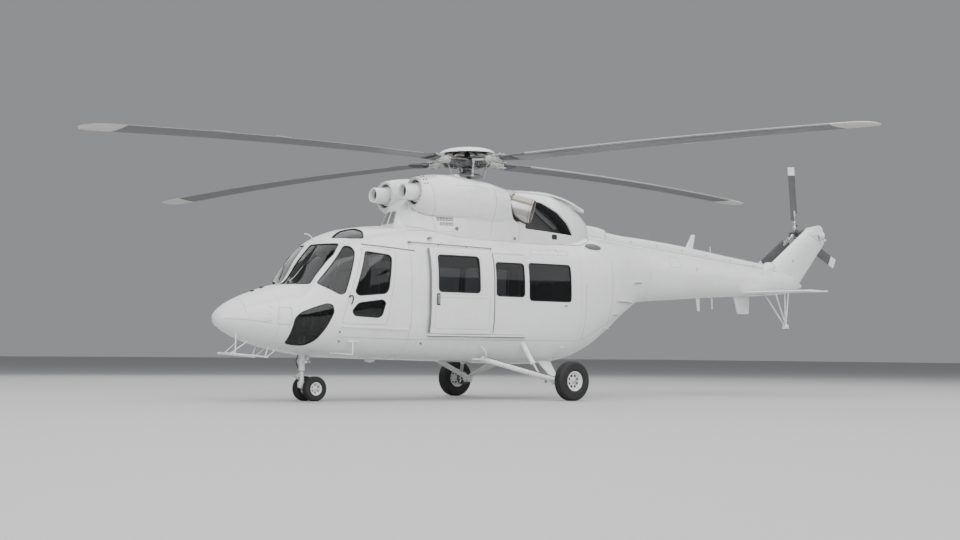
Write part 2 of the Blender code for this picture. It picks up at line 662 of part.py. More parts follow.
def build_engines():
    for side, word in ((-1, "left"), (1, "right")):
        pipe = exhaust_line(side, -0.42, 0.0, EXHAUST_R, "exhaust_" + word, STEEL)
        cut(pipe, exhaust_line(side, -0.5, 0.1, EXHAUST_R - 0.02, "exhaust_bore"))
        y = side * NACELLE_Y
        engine = box("engine_" + word, (-0.92, y - 0.17, 2.93), (0.14, y + 0.17, 3.31), DARK)
        join(engine, box("engine_mount", (-0.62, y - 0.10, 2.60), (-0.12, y + 0.10, 2.96)))
        cut(engine, hull_offset("engine_seat", -3.86, 2.85))
    block = box("main_gearbox", (-0.34, -0.24, 2.70), (0.34, 0.24, GEARBOX_TOP), DARK)
    cut(block, hull_offset("gearbox_seat", -3.86, 2.85))


# Main rotor, in the frame of its tilted shaft
def blade_rings(droop):
    # radius, leading edge and trailing edge ahead of the pitch axis, thickness, twist in degrees
    stations = (
        (BLADE_ROOT, 0.07, -0.08, 0.060, 6.0), (0.95, 0.08, -0.12, 0.058, 6.0),
        (1.35, 0.11, -0.33, 0.053, 5.5), (3.00, 0.11, -0.33, 0.050, 4.0),
        (5.00, 0.11, -0.33, 0.048, 1.5), (6.80, 0.11, -0.33, 0.045, 0.0),
        (7.28, 0.105, -0.33, 0.042, -0.5), (7.48, 0.05, -0.30, 0.034, -0.5),
        (ROTOR_RADIUS, -0.06, -0.20, 0.014, -0.5),
    )
    shape = ((0.0, 0.0), (0.05, 0.36), (0.25, 0.5), (0.55, 0.36), (1.0, 0.03))
    rings = []
    for radius, front, back, thick, twist in stations:
        sag = -droop * ((radius - BLADE_ROOT) / (ROTOR_RADIUS - BLADE_ROOT)) ** 2
        turn = Matrix.Rotation(-math.radians(twist), 3, "X")
        ring = []
        for u, v in [*shape, *[(a, -b * 0.7) for a, b in shape[:0:-1]]]:
            point = turn @ Vector((0.0, -front - u * (back - front), v * thick))
            ring.append(Vector((radius, point.y, point.z + sag)))
        rings.append(ring)
    return rings


def build_main_rotor():
    shaft = empty("main_rotor_axis", (0.0, 0.0, HUB_Z), AIRFRAME, (0.0, -SHAFT_TILT, 0.0))
    # The tilted foot's lowest edge stops just above the gearbox
    foot = -(HUB_Z - GEARBOX_TOP - GAP - MAST_R * math.sin(SHAFT_TILT)) / math.cos(SHAFT_TILT)
    mast = [
        (MAST_R, foot), (MAST_R, -0.12), (0.17, -0.12), (0.19, -0.02), (0.15, 0.06), (0.05, 0.08),
        (0.05, 0.12),
    ]
    hub = spun("rotor_hub", mast, LIGHT_METAL, 20, shaft, True)
    for k in range(4):
        heading = blade_angle(k)
        along = Vector((-math.cos(heading), -math.sin(heading), 0.0))
        across = Vector((along.y, -along.x, 0.0))
        grip = rod("grip", along * 0.10, along * (BLADE_ROOT - GAP), 0.085, None, 10, 0.07, shaft)
        horn = rod("pitch_horn", along * 0.30, along * 0.30 + across * 0.17, 0.022, None, 8, None, shaft)
        join(hub, grip, horn)
        blade = loft("main_blade_%d" % (k + 1), blade_rings(BLADE_DROOP[k]), BLADE, 40.0, shaft)
        # The leading edge faces the way the rotor turns, clockwise from above
        blade.rotation_euler = (0.0, 0.0, heading + math.pi)
    crown = [(0.46, 0.13), (0.44, 0.165), (0.36, 0.20), (0.22, 0.225), (0.08, 0.235)]
    hollow = [(0.05, 0.1203), (0.05, 0.205), (0.22, 0.200), (0.36, 0.175), (0.44, 0.13)]
    spun("rotor_dome", hollow + crown, WHITE, 24, shaft, True)
    bore = MAST_R + GAP
    plate = [(bore, -0.27), (0.26, -0.27), (0.27, -0.24), (0.24, -0.21), (bore, -0.21)]
    swash = spun("swashplate", plate, LIGHT_METAL, 20, shaft, False)
    for k in range(4):
        heading = blade_angle(k)
        along = Vector((-math.cos(heading), -math.sin(heading), 0.0))
        across = Vector((along.y, -along.x, 0.0))
        high = along * 0.30 + across * 0.155 + Vector((0, 0, -0.022 - GAP))
        low = (high * 0.70).xy.to_3d() + Vector((0, 0, -0.25))
        top = high - Vector((0, 0, 0.004))
        join(swash, rod("pitch_link", low, top, 0.014, None, 8, None, shaft))


def spun(name, profile, mat, sides, parent, closed):
    # Profile points are (radius, z); a closed piece ends on the axis, an open one is a ring
    bm = bmesh.new()
    points = list(profile)
    if closed:
        points = [(0.0, points[0][1]), *points, (0.0, points[-1][1])]
    loops = []
    for r, z in points:
        if r == 0.0:
            loops.append([bm.verts.new((0.0, 0.0, z))])
        else:
            turns = [2 * math.pi * k / sides for k in range(sides)]
            loops.append([bm.verts.new((r * math.cos(t), r * math.sin(t), z)) for t in turns])
    pairs = list(zip(loops, loops[1:])) + ([] if closed else [(loops[-1], loops[0])])
    for low, high in pairs:
        for k in range(sides):
            corners = [low[k % len(low)], low[(k + 1) % len(low)]]
            corners += [high[(k + 1) % len(high)], high[k % len(high)]]
            bm.faces.new(list(dict.fromkeys(corners)))
    return add_object(name, bm, mat, 35.0, parent)


# Tail rotor
def build_tail_rotor():
    near = -0.10 + GAP
    profile = ((near, 0.0), (near, 0.06), (0.07, 0.06), (0.11, 0.035), (0.11, 0.0))
    hub = turned("tail_rotor_hub", profile, TAIL_HUB, LIGHT_METAL, 12)
    for k in range(3):
        turn = tail_angle(k)
        along = Vector((-math.sin(turn), 0.0, math.cos(turn)))
        across = Vector((along.z, 0.0, -along.x))
        join(hub, rod("tail_grip", TAIL_HUB, TAIL_HUB + along * (0.24 - GAP), 0.038, None, 10))
        rings = []
        for radius, half, thick in ((0.24, 0.05, 0.022), (0.40, 0.10, 0.016), (TAIL_RADIUS, 0.095, 0.008)):
            centre = TAIL_HUB + along * radius
            shape = ((-1.0, 0.0), (-0.8, 0.7), (-0.3, 1.0), (1.0, 0.15))
            upper = [centre + across * (u * half) + Vector((0, v * thick, 0)) for u, v in shape]
            lower = [centre + across * (u * half) - Vector((0, v * thick, 0)) for u, v in shape[:0:-1]]
            rings.append(upper + lower)
        loft("tail_blade_%d" % (k + 1), rings, BLADE)


# Landing gear
def build_nose_gear():
    leg = rod("nose_leg", (NOSE_PIVOT_X, 0, 1.0), (NOSE_PIVOT_X, 0, 0.46), 0.055, WHITE, 16)
    join(leg, rod("leg_brace", (NOSE_PIVOT_X, 0, 0.58), (NOSE_PIVOT_X + 0.26, 0, 0.90), 0.03, None, 10))
    join(leg, rod("leg_collar", (NOSE_PIVOT_X, 0, 0.66), (NOSE_PIVOT_X, 0, 0.56), 0.075, None, 16))
    cut(leg, hull_offset("leg_seat", NOSE_BACK, COCKPIT_BACK))
    fork = rod("nose_fork", (NOSE_PIVOT_X, 0, 0.46 - GAP), (NOSE_PIVOT_X, 0, 0.22), 0.042, LIGHT_METAL, 14)
    arm = ((-3.18, 0.30), (-3.09, 0.30), (-2.94, 0.23), (-2.94, 0.15), (-3.02, 0.15), (-3.18, 0.20))
    join(fork, prism("fork_arm", arm, -0.045, 0.045))
    link = ((-3.15, 0.44), (-3.26, 0.38), (-3.15, 0.31), (-3.15, 0.33), (-3.22, 0.38), (-3.15, 0.42))
    join(fork, prism("torque_link", link, -0.02, 0.02))
    centre = Vector((NOSE_AXLE_X, 0.0, NOSE_TYRE_R))
    reach = Vector((0, 0.2, 0))
    cut(fork, rod("axle_bore", centre - reach, centre + reach, AXLE_R + 3 * GAP, None, 20))
    wheel = (
        (-0.080, 0.0), (-0.080, 0.035), (-0.040, 0.050), (-0.065, 0.090), (-0.065, 0.165),
        (-0.040, NOSE_TYRE_R), (0.040, NOSE_TYRE_R), (0.065, 0.165), (0.065, 0.090), (0.060, AXLE_R),
    )
    port = [(y - NOSE_WHEEL_Y, r) for y, r in wheel]
    profile = port + [(-y, r) for y, r in port[::-1]]
    turned("nose_wheels", profile, centre, RUBBER, 20)


def build_main_gear(side, word):
    def at(x, y, z):
        return Vector((x, side * y, z))

    knuckle = at(MAIN_AXLE_X, 1.19, MAIN_TYRE_R)
    gear = rod("main_gear_" + word, at(-0.16, 0.66, 0.66), knuckle, 0.042, WHITE, 14)
    axle = turned("main_axle", ((-0.06, 0.0), (-0.06, 0.055), (0.06, 0.055), (0.06, 0.0)), knuckle, None, 14)
    stub = rod("stub_axle", knuckle, at(MAIN_AXLE_X, MAIN_WHEEL_Y + 0.06, MAIN_TYRE_R), STUB_R, None, 14)
    join(gear, axle, stub)
    strut_foot = at(0.64, 1.03, 0.42)
    strut_head = at(0.53, 0.78, 0.93)
    strut_mid = strut_foot.lerp(strut_head, 0.45)
    join(gear, rod("strut_body", strut_head, strut_mid, 0.045, None, 12))
    join(gear, rod("strut_rod", strut_mid, strut_foot, 0.028, None, 10))
    brace = (at(1.30, 0.60, 0.62), at(1.05, 0.60, 0.62), at(0.90, 1.20, 0.33), at(0.98, 1.20, 0.33))
    rings = [[p + Vector((0, 0, d)) for p in brace] for d in (-0.012, 0.012)]
    join(gear, loft("aft_brace", rings))
    cut(gear, hull_offset("gear_seat", COCKPIT_BACK, BOOM_FRONT))

    centre = at(MAIN_AXLE_X, MAIN_WHEEL_Y, MAIN_TYRE_R)
    half = (
        (0.05, STUB_R + 2 * GAP), (0.05, 0.10), (0.090, 0.17), (0.10, 0.25), (0.075, 0.295),
        (0.045, MAIN_TYRE_R),
    )
    profile = [(-y, r) for y, r in half] + list(half[::-1])
    turned("main_wheel_" + word, profile, centre, RUBBER, 24)


def build_nose_antenna():
    z = 0.70
    front = rod("nose_antenna", (-4.42, -0.22, z + 0.02), (-4.42, 0.22, z + 0.02), 0.014, WHITE, 8)
    for side in (-1, 1):
        y = side * 0.20
        join(front, rod("rail", (-4.46, y, z + 0.02), (-3.84, y, z - 0.03), 0.012, None, 8))
        join(front, rod("strut", (-4.38, y, z + 0.015), (-4.36, y * 0.9, 1.10), 0.010, None, 8))
        join(front, rod("strut", (-3.88, y, z - 0.02), (-3.78, y * 0.9, 0.95), 0.010, None, 8))
    cut(front, hull_offset("antenna_seat", -4.655, COCKPIT_BACK))


build_nose()
build_cockpit()
build_glazing()
build_cabin()
for hand, name in ((-1, "left"), (1, "right")):
    build_crew_door(hand, name)
    build_cabin_door(hand, name)
    build_main_gear(hand, name)
build_inside()
build_tail()
build_engine_cowls()
build_aft_cowl()
build_engines()
build_main_rotor()
build_tail_rotor()
build_nose_gear()
build_nose_antenna()
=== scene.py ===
# %% [markdown]
# # A white utility helicopter on its wheels
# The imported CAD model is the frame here: it gives the sizes, the joints and the clearances. This script
# builds the model that is looked at, piece by piece over that frame. All pieces are plain geometry with
# procedural finishes, so they can be repainted and exported.

# %% The frame
import json
from math import acos, asin, ceil, copysign, cos, degrees, pi, radians, sin, sqrt
from functools import lru_cache

import bmesh
import bpy
import numpy as np
from mathutils import Matrix, Vector
from mathutils.bvhtree import BVHTree
from mathutils.geometry import delaunay_2d_cdt


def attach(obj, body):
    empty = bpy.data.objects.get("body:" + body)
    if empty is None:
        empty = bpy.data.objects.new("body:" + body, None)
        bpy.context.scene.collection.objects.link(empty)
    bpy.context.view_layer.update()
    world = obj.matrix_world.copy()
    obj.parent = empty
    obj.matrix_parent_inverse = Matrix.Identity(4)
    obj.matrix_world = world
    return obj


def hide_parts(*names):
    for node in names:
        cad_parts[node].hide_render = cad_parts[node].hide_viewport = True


TURN = 2 * pi
UP = Vector((0.0, 0.0, 1.0))
# points closer than this are one point, and edges sharper than this angle can be bevelled
MERGED, HARD_EDGE = 1e-5, radians(32)
# squared distance, in grid steps, that inner points of a plate keep from its outline
EDGE_CLEAR = 0.16

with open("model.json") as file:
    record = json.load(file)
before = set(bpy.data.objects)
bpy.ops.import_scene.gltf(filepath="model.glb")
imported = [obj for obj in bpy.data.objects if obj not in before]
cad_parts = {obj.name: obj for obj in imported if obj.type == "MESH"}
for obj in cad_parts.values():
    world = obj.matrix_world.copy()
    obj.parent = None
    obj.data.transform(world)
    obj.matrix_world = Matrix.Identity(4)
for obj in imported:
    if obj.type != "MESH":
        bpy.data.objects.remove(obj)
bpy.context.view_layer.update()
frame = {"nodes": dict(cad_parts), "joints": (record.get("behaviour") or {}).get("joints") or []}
joints = {joint["name"]: Vector(joint["pos_m"]) for joint in frame["joints"] if "pos_m" in joint}
print("CAD nodes", len(frame["nodes"]), "hinges", len(joints))

# %% [markdown]
# ## Where things are measured from
# Aircraft drawings measure from one station line. Here it is the main rotor mast: x runs aft from it,
# y to starboard, and z up from the ground. Every piece is drawn in those numbers and is moved once, by
# the mast's place in the frame, so that it lands on its CAD body.

# %% The mast's place
HUB = joints["main_rotor_spin"]
MAST = Vector((HUB.x, HUB.y, 0.0))
HUB_Z = HUB.z
print("mast", [round(v, 3) for v in MAST], "hub height", round(HUB_Z, 3))

# %% [markdown]
# ## The hull's lines
# A hull like this is drawn as frames: at each station an oval with its own roof, keel, half width and
# roundness. A lofted mesh could be sculpted by eye, but a table with a smooth curve through each column
# gives every later piece the same surface to sit on, so doors, panes, seams and rivets all follow it.

# %% Hull table and surface
HULL = (
    (-4.66, 1.236, 1.236, 0.001, 1.236, 2.0, 2.0), (-4.62, 1.315, 1.155, 0.1, 1.235, 2.0, 2.0),
    (-4.52, 1.41, 1.075, 0.205, 1.235, 2.0, 2.0), (-4.3, 1.535, 0.965, 0.37, 1.24, 2.05, 2.05),
    (-4.0, 1.65, 0.86, 0.53, 1.25, 2.15, 2.15), (-3.75, 1.735, 0.8, 0.64, 1.27, 2.2, 2.25),
    (-3.52, 1.79, 0.755, 0.72, 1.3, 2.2, 2.35), (-3.25, 2.16, 0.715, 0.785, 1.34, 2.35, 2.5),
    (-3.0, 2.44, 0.69, 0.835, 1.4, 2.35, 2.6), (-2.75, 2.575, 0.672, 0.868, 1.48, 2.45, 2.7),
    (-2.45, 2.665, 0.658, 0.89, 1.56, 2.6, 2.8), (-2.0, 2.73, 0.645, 0.9, 1.62, 2.8, 2.9),
    (-1.2, 2.77, 0.63, 0.9, 1.65, 3.0, 3.0), (-0.2, 2.78, 0.605, 0.9, 1.65, 3.0, 3.0),
    (0.8, 2.78, 0.575, 0.9, 1.65, 3.0, 3.0), (1.3, 2.785, 0.585, 0.89, 1.68, 2.9, 2.9),
    (1.8, 2.8, 0.65, 0.86, 1.76, 2.7, 2.7), (2.3, 2.84, 0.81, 0.79, 1.88, 2.5, 2.5),
    (2.8, 2.81, 1.08, 0.68, 2.02, 2.3, 2.3), (3.3, 2.765, 1.42, 0.54, 2.16, 2.2, 2.2),
    (3.8, 2.722, 1.69, 0.445, 2.23, 2.1, 2.1), (4.6, 2.655, 1.755, 0.39, 2.22, 2.0, 2.0),
    (6.0, 2.54, 1.85, 0.315, 2.2, 2.0, 2.0), (7.4, 2.42, 1.925, 0.24, 2.175, 2.0, 2.0),
    (7.95, 2.35, 1.985, 0.16, 2.165, 2.0, 2.0), (8.32, 2.17, 2.1, 0.035, 2.135, 2.0, 2.0),
)


def curve_through(xs, ys):
    """Monotone cubic through the points, so a column never overshoots."""
    xs, ys = np.array(xs), np.array(ys)
    run, slope = np.diff(xs), np.diff(ys) / np.diff(xs)
    tangent = np.concatenate(([slope[0]], np.zeros(len(run) - 1), [slope[-1]]))
    for k in range(1, len(run)):
        if slope[k - 1] * slope[k] > 0:
            w0, w1 = 2 * run[k] + run[k - 1], run[k] + 2 * run[k - 1]
            tangent[k] = (w0 + w1) / (w0 / slope[k - 1] + w1 / slope[k])

    def value(x):
        x = min(max(x, xs[0]), xs[-1])
        k = min(int(np.searchsorted(xs, x, "right")) - 1, len(run) - 1)
        t = (x - xs[k]) / run[k]
        start = (1 + 2 * t) * (1 - t) ** 2 * ys[k] + t * (1 - t) ** 2 * run[k] * tangent[k]
        return float(start + t * t * (3 - 2 * t) * ys[k + 1] + t * t * (t - 1) * run[k] * tangent[k + 1])

    return value


COLUMNS = [curve_through([row[0] for row in HULL], [row[c] for row in HULL]) for c in range(1, 7)]


@lru_cache(None)
def section(x):
    return tuple(column(x) for column in COLUMNS)


def oval_point(x, turn, roof, keel, half, middle, up, down, out=0.0):
    c, s = cos(turn), sin(turn)
    power, reach = (2 / up, roof - middle) if s >= 0 else (2 / down, middle - keel)
    y = (half + out) * copysign(abs(c) ** power, c)
    return Vector((x, y, middle + (reach + out) * copysign(abs(s) ** power, s)))


def on_hull(x, turn, out=0.0):
    """Point of the hull at station x; turn is 0 at starboard, a quarter at the roof, a half at port."""
    return oval_point(x, turn, *section(round(x, 5)), out)


def side_turn(x, z, side):
    roof, keel, _, middle, up, down = section(round(x, 5))
    reach, power = (roof - middle, up) if z >= middle else (middle - keel, down)
    turn = copysign(asin(min(abs(z - middle) / reach, 1.0) ** (power / 2)), z - middle)
    return turn if side > 0 else pi - turn


def roof_turn(x, y):
    _, _, half, _, up, _ = section(round(x, 5))
    turn = acos(min(abs(y) / half, 1.0) ** (up / 2))
    return turn if y > 0 else pi - turn


def front_station(y, z):
    """Station where a level line from ahead first meets the hull."""
    ahead, behind = -4.65, -2.2
    for _ in range(30):
        x = (ahead + behind) / 2
        roof, keel, half, middle, up, down = section(x)
        reach, power = (roof - middle, up) if z >= middle else (middle - keel, down)
        if (abs(y) / half) ** power + (abs(z - middle) / reach) ** power < 1:
            behind = x
        else:
            ahead = x
    return (ahead + behind) / 2


print("widest hull", round(2 * max(row[3] for row in HULL), 2), "m")

# %% [markdown]
# ## Outlines on the hull
# Doors and windows are laid out on the side view, the windshield on the front view and the roof panes
# on the plan, as they would be on a drawing. Each outline gets its corner radius and enough points to
# follow the curve, and is then carried onto the hull as pairs of station and turn.

# %% Outline helpers
def rounded(corners, radius, gap=0.04, steps=5):
    """Closed outline with rounded corners and no stretch longer than the gap."""
    points = []
    count = len(corners)
    for k in range(count):
        before, here, after = (Vector(corners[(k + d) % count]) for d in (-1, 0, 1))
        back, on = (before - here), (after - here)
        reach = min(radius, back.length * 0.45, on.length * 0.45)
        start, end = here + back.normalized() * reach, here + on.normalized() * reach
        for i in range(steps + 1):
            t = i / steps
            points.append(start * (1 - t) ** 2 + here * 2 * t * (1 - t) + end * t * t)
    filled = []
    for a, b in zip(points, points[1:] + points[:1]):
        pieces = max(1, ceil((b - a).length / gap))
        filled += [tuple(a.lerp(b, i / pieces)) for i in range(pieces)]
    return filled


def line(points, gap=0.04):
    """Open line with no stretch longer than the gap."""
    filled = []
    for a, b in zip(points, points[1:]):
        a, b = Vector(a), Vector(b)
        pieces = max(1, ceil((b - a).length / gap))
        filled += [tuple(a.lerp(b, i / pieces)) for i in range(pieces)]
    return filled + [tuple(points[-1])]


def rectangle(left, right, low, high):
    return (left, low), (right, low), (right, high), (left, high)


def grown(outline, distance):
    """Closed outline moved outwards, or inwards for a distance below zero."""
    points = [Vector(p) for p in outline]
    area = sum(a.x * b.y - b.x * a.y for a, b in zip(points, points[1:] + points[:1]))
    hand = 1 if area > 0 else -1
    moved = []
    for k, here in enumerate(points):
        along = (points[(k + 1) % len(points)] - points[k - 1]).normalized()
        moved.append((here.x + along.y * distance * hand, here.y - along.x * distance * hand))
    return moved


def on_side(points, side):
    return [(x, side_turn(x, z, side)) for x, z in points]


def on_front(points, side):
    stations = [(front_station(side * y, z), side, z) for y, z in points]
    return [(x, side_turn(x, z, side)) for x, side, z in stations]


def on_roof(points, side):
    return [(x, roof_turn(x, side * y)) for x, y in points]


# %% [markdown]
# ## Making a piece
# One small class collects closed shapes and turns them into a single mesh with its finish, its CAD body
# and the CAD nodes it stands for. Modifiers would do the same, but plain points and faces are quick to
# build and leave nothing to go wrong at export.

# %% The piece
FINISH = {}


def placed(name, data):
    obj = bpy.data.objects.new(name, data)
    bpy.context.scene.collection.objects.link(obj)
    return obj


class Piece:
    def __init__(self, turn=None):
        self.points, self.faces = [], []
        self.turn = turn or Matrix()

    def add(self, points, faces):
        base = len(self.points)
        self.points += [self.turn @ Vector(p) for p in points]
        self.faces += [[base + i for i in face] for face in faces]
        return self

    def loft(self, rings, joined=False):
        """Skin over rings of equal count, with flat ends unless the last ring joins the first."""
        count, many = len(rings[0]), len(rings)
        points = [p for ring in rings for p in ring]
        faces = []
        for r in range(many if joined else many - 1):
            low, high = r * count, ((r + 1) % many) * count
            for k in range(count):
                after = (k + 1) % count
                faces.append((low + k, low + after, high + after, high + k))
        if not joined:
            faces += [tuple(range(count))[::-1], tuple(range((many - 1) * count, many * count))]
        return self.add(points, faces)

    def tube(self, path, radius, sides=10, end=None):
        """Round bar along a path; the radius may grow or shrink to its end."""
        path = [Vector(p) for p in path]
        rings = []
        side = None
        for k, here in enumerate(path):
            along = (path[min(k + 1, len(path) - 1)] - path[max(k - 1, 0)]).normalized()
            side = along.orthogonal() if side is None else side - along * side.dot(along)
            side.normalize()
            up = along.cross(side)
            r = radius if end is None else radius + (end - radius) * k / (len(path) - 1)
            turns = [TURN * i / sides for i in range(sides)]
            rings.append([here + r * (cos(t) * side + sin(t) * up) for t in turns])
        return self.loft(rings)

    def lathe(self, profile, centre=(0, 0, 0), axis=(0, 0, 1), sides=32):
        """Turned shape: the profile runs round a closed section as (distance along the axis, radius)."""
        centre, axis = Vector(centre), Vector(axis).normalized()
        side = axis.orthogonal().normalized()
        up = axis.cross(side)
        points, faces = [], []
        for k in range(sides):
            t = TURN * k / sides
            out = cos(t) * side + sin(t) * up
            points += [centre + axis * a + out * r for a, r in profile]
        many = len(profile)
        whole = profile[0][1] > 1e-6
        for k in range(sides):
            low, high = k * many, ((k + 1) % sides) * many
            for i in range(many if whole else many - 1):
                j = (i + 1) % many
                faces.append((low + i, low + j, high + j, high + i))
        return self.add(points, faces)

    def turned(self, profile, centre=(0, 0, 0), axis=(0, 0, 1), sides=32):
        """Solid turned shape: its profile runs from face to face and is closed along the axis."""
        ends = (profile[0][0], 0.0), (profile[-1][0], 0.0)
        return self.lathe([ends[0], *profile, ends[1]], centre, axis, sides)

    def stub(self, low, high, radii, centre=(0, 0, 0), axis=(0, 0, 1), sides=32):
        """Short round bar along an axis; a pair of radii makes it taper."""
        start, end = radii if isinstance(radii, tuple) else (radii, radii)
        return self.turned([(low, start), (high, end)], centre, axis, sides)

    def collar(self, low, high, inner, outer, centre=(0, 0, 0), axis=(0, 0, 1), sides=32):
        profile = [(low, inner), (low, outer), (high, outer), (high, inner)]
        return self.lathe(profile, centre, axis, sides)

    def block(self, low, high):
        x0, y0, z0 = low
        x1, y1, z1 = high
        ring = ((x0, y0), (x1, y0), (x1, y1), (x0, y1))
        return self.loft([[(x, y, z) for x, y in ring] for z in (z0, z1)])

    def slab(self, outline, low, high):
        """Flat plate: an outline in the side view, given thickness across the machine."""
        return self.loft([[(x, y, z) for x, z in outline] for y in (low, high)])

    def ball(self, centre, radius, stretch=(1, 1, 1), rings=8, sides=14):
        centre = Vector(centre)
        points = []
        for r in range(1, rings):
            lean = pi * r / rings
            for k in range(sides):
                t = TURN * k / sides
                way = (sin(lean) * cos(t), sin(lean) * sin(t), cos(lean))
                points.append([centre[i] + radius * stretch[i] * way[i] for i in range(3)])
        rows = [points[r * sides:(r + 1) * sides] for r in range(rings - 1)]
        return self.loft(rows)

    def make(self, name, finish, body="root", replaces=(), smooth=38, bevel=0.0):
        mesh = bpy.data.meshes.new(name)
        mesh.from_pydata([p + MAST for p in self.points], [], self.faces)
        bm = bmesh.new()
        bm.from_mesh(mesh)
        bmesh.ops.remove_doubles(bm, verts=bm.verts, dist=MERGED)
        bmesh.ops.dissolve_degenerate(bm, edges=bm.edges, dist=1e-6)
        bmesh.ops.recalc_face_normals(bm, faces=bm.faces)
        if bevel:
            hard = [e for e in bm.edges if e.is_manifold and e.calc_face_angle() > HARD_EDGE]
            bmesh.ops.bevel(
                bm, geom=hard, offset=bevel, segments=2, profile=0.5, affect="EDGES", clamp_overlap=True
            )
        bm.to_mesh(mesh)
        bm.free()
        mesh.shade_smooth()
        mesh.set_sharp_from_angle(angle=radians(smooth))
        obj = placed(name, mesh)
        material, slot = FINISH[finish]
        mesh.materials.append(material)
        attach(obj, body)
        if replaces:
            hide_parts(*replaces)
        return obj


# %% [markdown]
# ## Plates, seams and studs on a curved surface
# Skins and panes are cut from one surface: the outline and its holes are filled with triangles in the
# flat layout and lifted onto the hull, once for the outer face and once for the inner one. That keeps
# hole edges exact, where cutting a finished mesh would leave stray facets in the gloss.

# %% Surface helpers
def inside(loop, points):
    """Which of the points lie inside the closed loop."""
    a, b = loop, np.roll(loop, -1, 0)
    found = np.zeros(len(points), bool)
    for (x0, y0), (x1, y1) in zip(a, b):
        if y0 == y1:
            continue
        crosses = (points[:, 1] > min(y0, y1)) & (points[:, 1] <= max(y0, y1))
        found ^= crosses & (points[:, 0] < x0 + (points[:, 1] - y0) * (x1 - x0) / (y1 - y0))
    return found


def plate(piece, outline, holes, place, outer, inner, step, wrap=False):
    """Thick curved plate inside the outline and outside the holes, between two offsets."""
    scale = np.array(step)
    loops = [np.array(loop) / scale for loop in (outline, *holes)]
    flat, edges = [], []
    for loop in loops:
        edges += [(len(flat) + k, len(flat) + (k + 1) % len(loop)) for k in range(len(loop))]
        flat += [tuple(p) for p in loop]
    low, high = loops[0].min(0), loops[0].max(0)
    counts = np.maximum(np.round(high - low).astype(int), 1)
    us, vs = (np.linspace(low[i], high[i], counts[i] + 1)[1:-1] for i in range(2))
    grid = np.array([(u, v) for u in us for v in vs]).reshape(-1, 2)
    keep = inside(loops[0], grid)
    for loop in loops[1:]:
        keep &= ~inside(loop, grid)
    for loop in loops:
        start, run = loop, np.roll(loop, -1, 0) - loop
        size = np.maximum((run ** 2).sum(1), 1e-12)
        for a, d, s in zip(start, run, size):
            along = np.clip(((grid - a) @ d) / s, 0, 1)
            keep &= ((grid - a - along[:, None] * d) ** 2).sum(1) > EDGE_CLEAR
    flat += [tuple(p) for p in grid[keep]]
    made = delaunay_2d_cdt([Vector(p) for p in flat], edges, [], 0, 1e-7)
    spots = np.array([tuple(p) for p in made[0]])
    faces = np.array([tuple(f) for f in made[2]])
    middles = spots[faces].mean(1)
    keep = inside(loops[0], middles)
    for loop in loops[1:]:
        keep &= ~inside(loop, middles)
    faces = faces[keep]
    used = {(int(a), int(b)): None for face in faces for a, b in zip(face, np.roll(face, -1))}
    rim = [(a, b) for a, b in used if (b, a) not in used]
    if wrap:
        ends = (low[1] + 1e-4, high[1] - 1e-4)
        rim = [
            (a, b) for a, b in rim
            if not (max(spots[a][1], spots[b][1]) < ends[0] or min(spots[a][1], spots[b][1]) > ends[1])
        ]
    count = len(spots)
    points = [place(u * scale[0], v * scale[1], out) for out in (outer, inner) for u, v in spots]
    solid = [tuple(int(i) for i in f) for f in faces]
    solid += [tuple(int(i) + count for i in f)[::-1] for f in faces]
    solid += [(b, a, a + count, b + count) for a, b in rim]
    return piece.add(points, solid)


def facing(place, u, v):
    """Point of a surface and its outward direction there."""
    here = place(u, v, 0.0)
    du, dv = place(u + 1e-3, v, 0.0) - here, place(u, v + 1e-3, 0.0) - here
    out = du.cross(dv).normalized()
    return here, out if out.dot(place(u, v, 0.02) - here) > 0 else -out


def strip(piece, spots, width, high, low, closed):
    """Flat strip through spots of point and outward direction, from the low offset to the high one."""
    rings = []
    count = len(spots)
    for k, (here, out) in enumerate(spots):
        after = (k + 1) % count if closed else min(k + 1, count - 1)
        before = k - 1 if closed else max(k - 1, 0)
        across = out.cross(spots[after][0] - spots[before][0]).normalized() * width / 2
        rings.append([here - across + out * low, here + across + out * low])
        rings[-1] += [here + across + out * high, here - across + out * high]
    return piece.loft(rings, joined=closed)


def ribbon(piece, path, place, width, high, low=-0.004, closed=True):
    return strip(piece, [facing(place, u, v) for u, v in path], width, high, low, closed)


def stud_head(piece, here, out, radius, height=0.0015, sides=8):
    return piece.turned([(-0.002, radius), (height * 0.5, radius), (height, radius * 0.6)], here, out, sides)


def studs(piece, spots, place, radius, height=0.0015, sides=8):
    """Low round heads on a surface."""
    for u, v in spots:
        stud_head(piece, *facing(place, u, v), radius, height, sides)
    return piece


def seam(piece, points, side, width=0.0035, high=0.0012, gap=0.03, low=-0.004):
    """Strip on the side of the hull along an open line of side-view points."""
    return ribbon(piece, on_side(line(points, gap), side), on_hull, width, high, low, closed=False)


# %% [markdown]
# ## Finishes
# Seen from a few metres a finish is a base colour, a gloss and what time did to them. Flat values would
# render faster, but real paint is never one value: dust dulls it in patches and its surface is slightly
# rough. One shared group makes the patches, one the brushed and heat-tinted metal, one the seat cloth.

# %% Node groups
def node_group(name, inputs, outputs):
    tree = bpy.data.node_groups.new(name, "ShaderNodeTree")
    for label, kind, value in inputs:
        tree.interface.new_socket(label, in_out="INPUT", socket_type=kind).default_value = value
    for label, kind in outputs:
        tree.interface.new_socket(label, in_out="OUTPUT", socket_type=kind)
    return tree, tree.nodes.new("NodeGroupInput").outputs, tree.nodes.new("NodeGroupOutput")


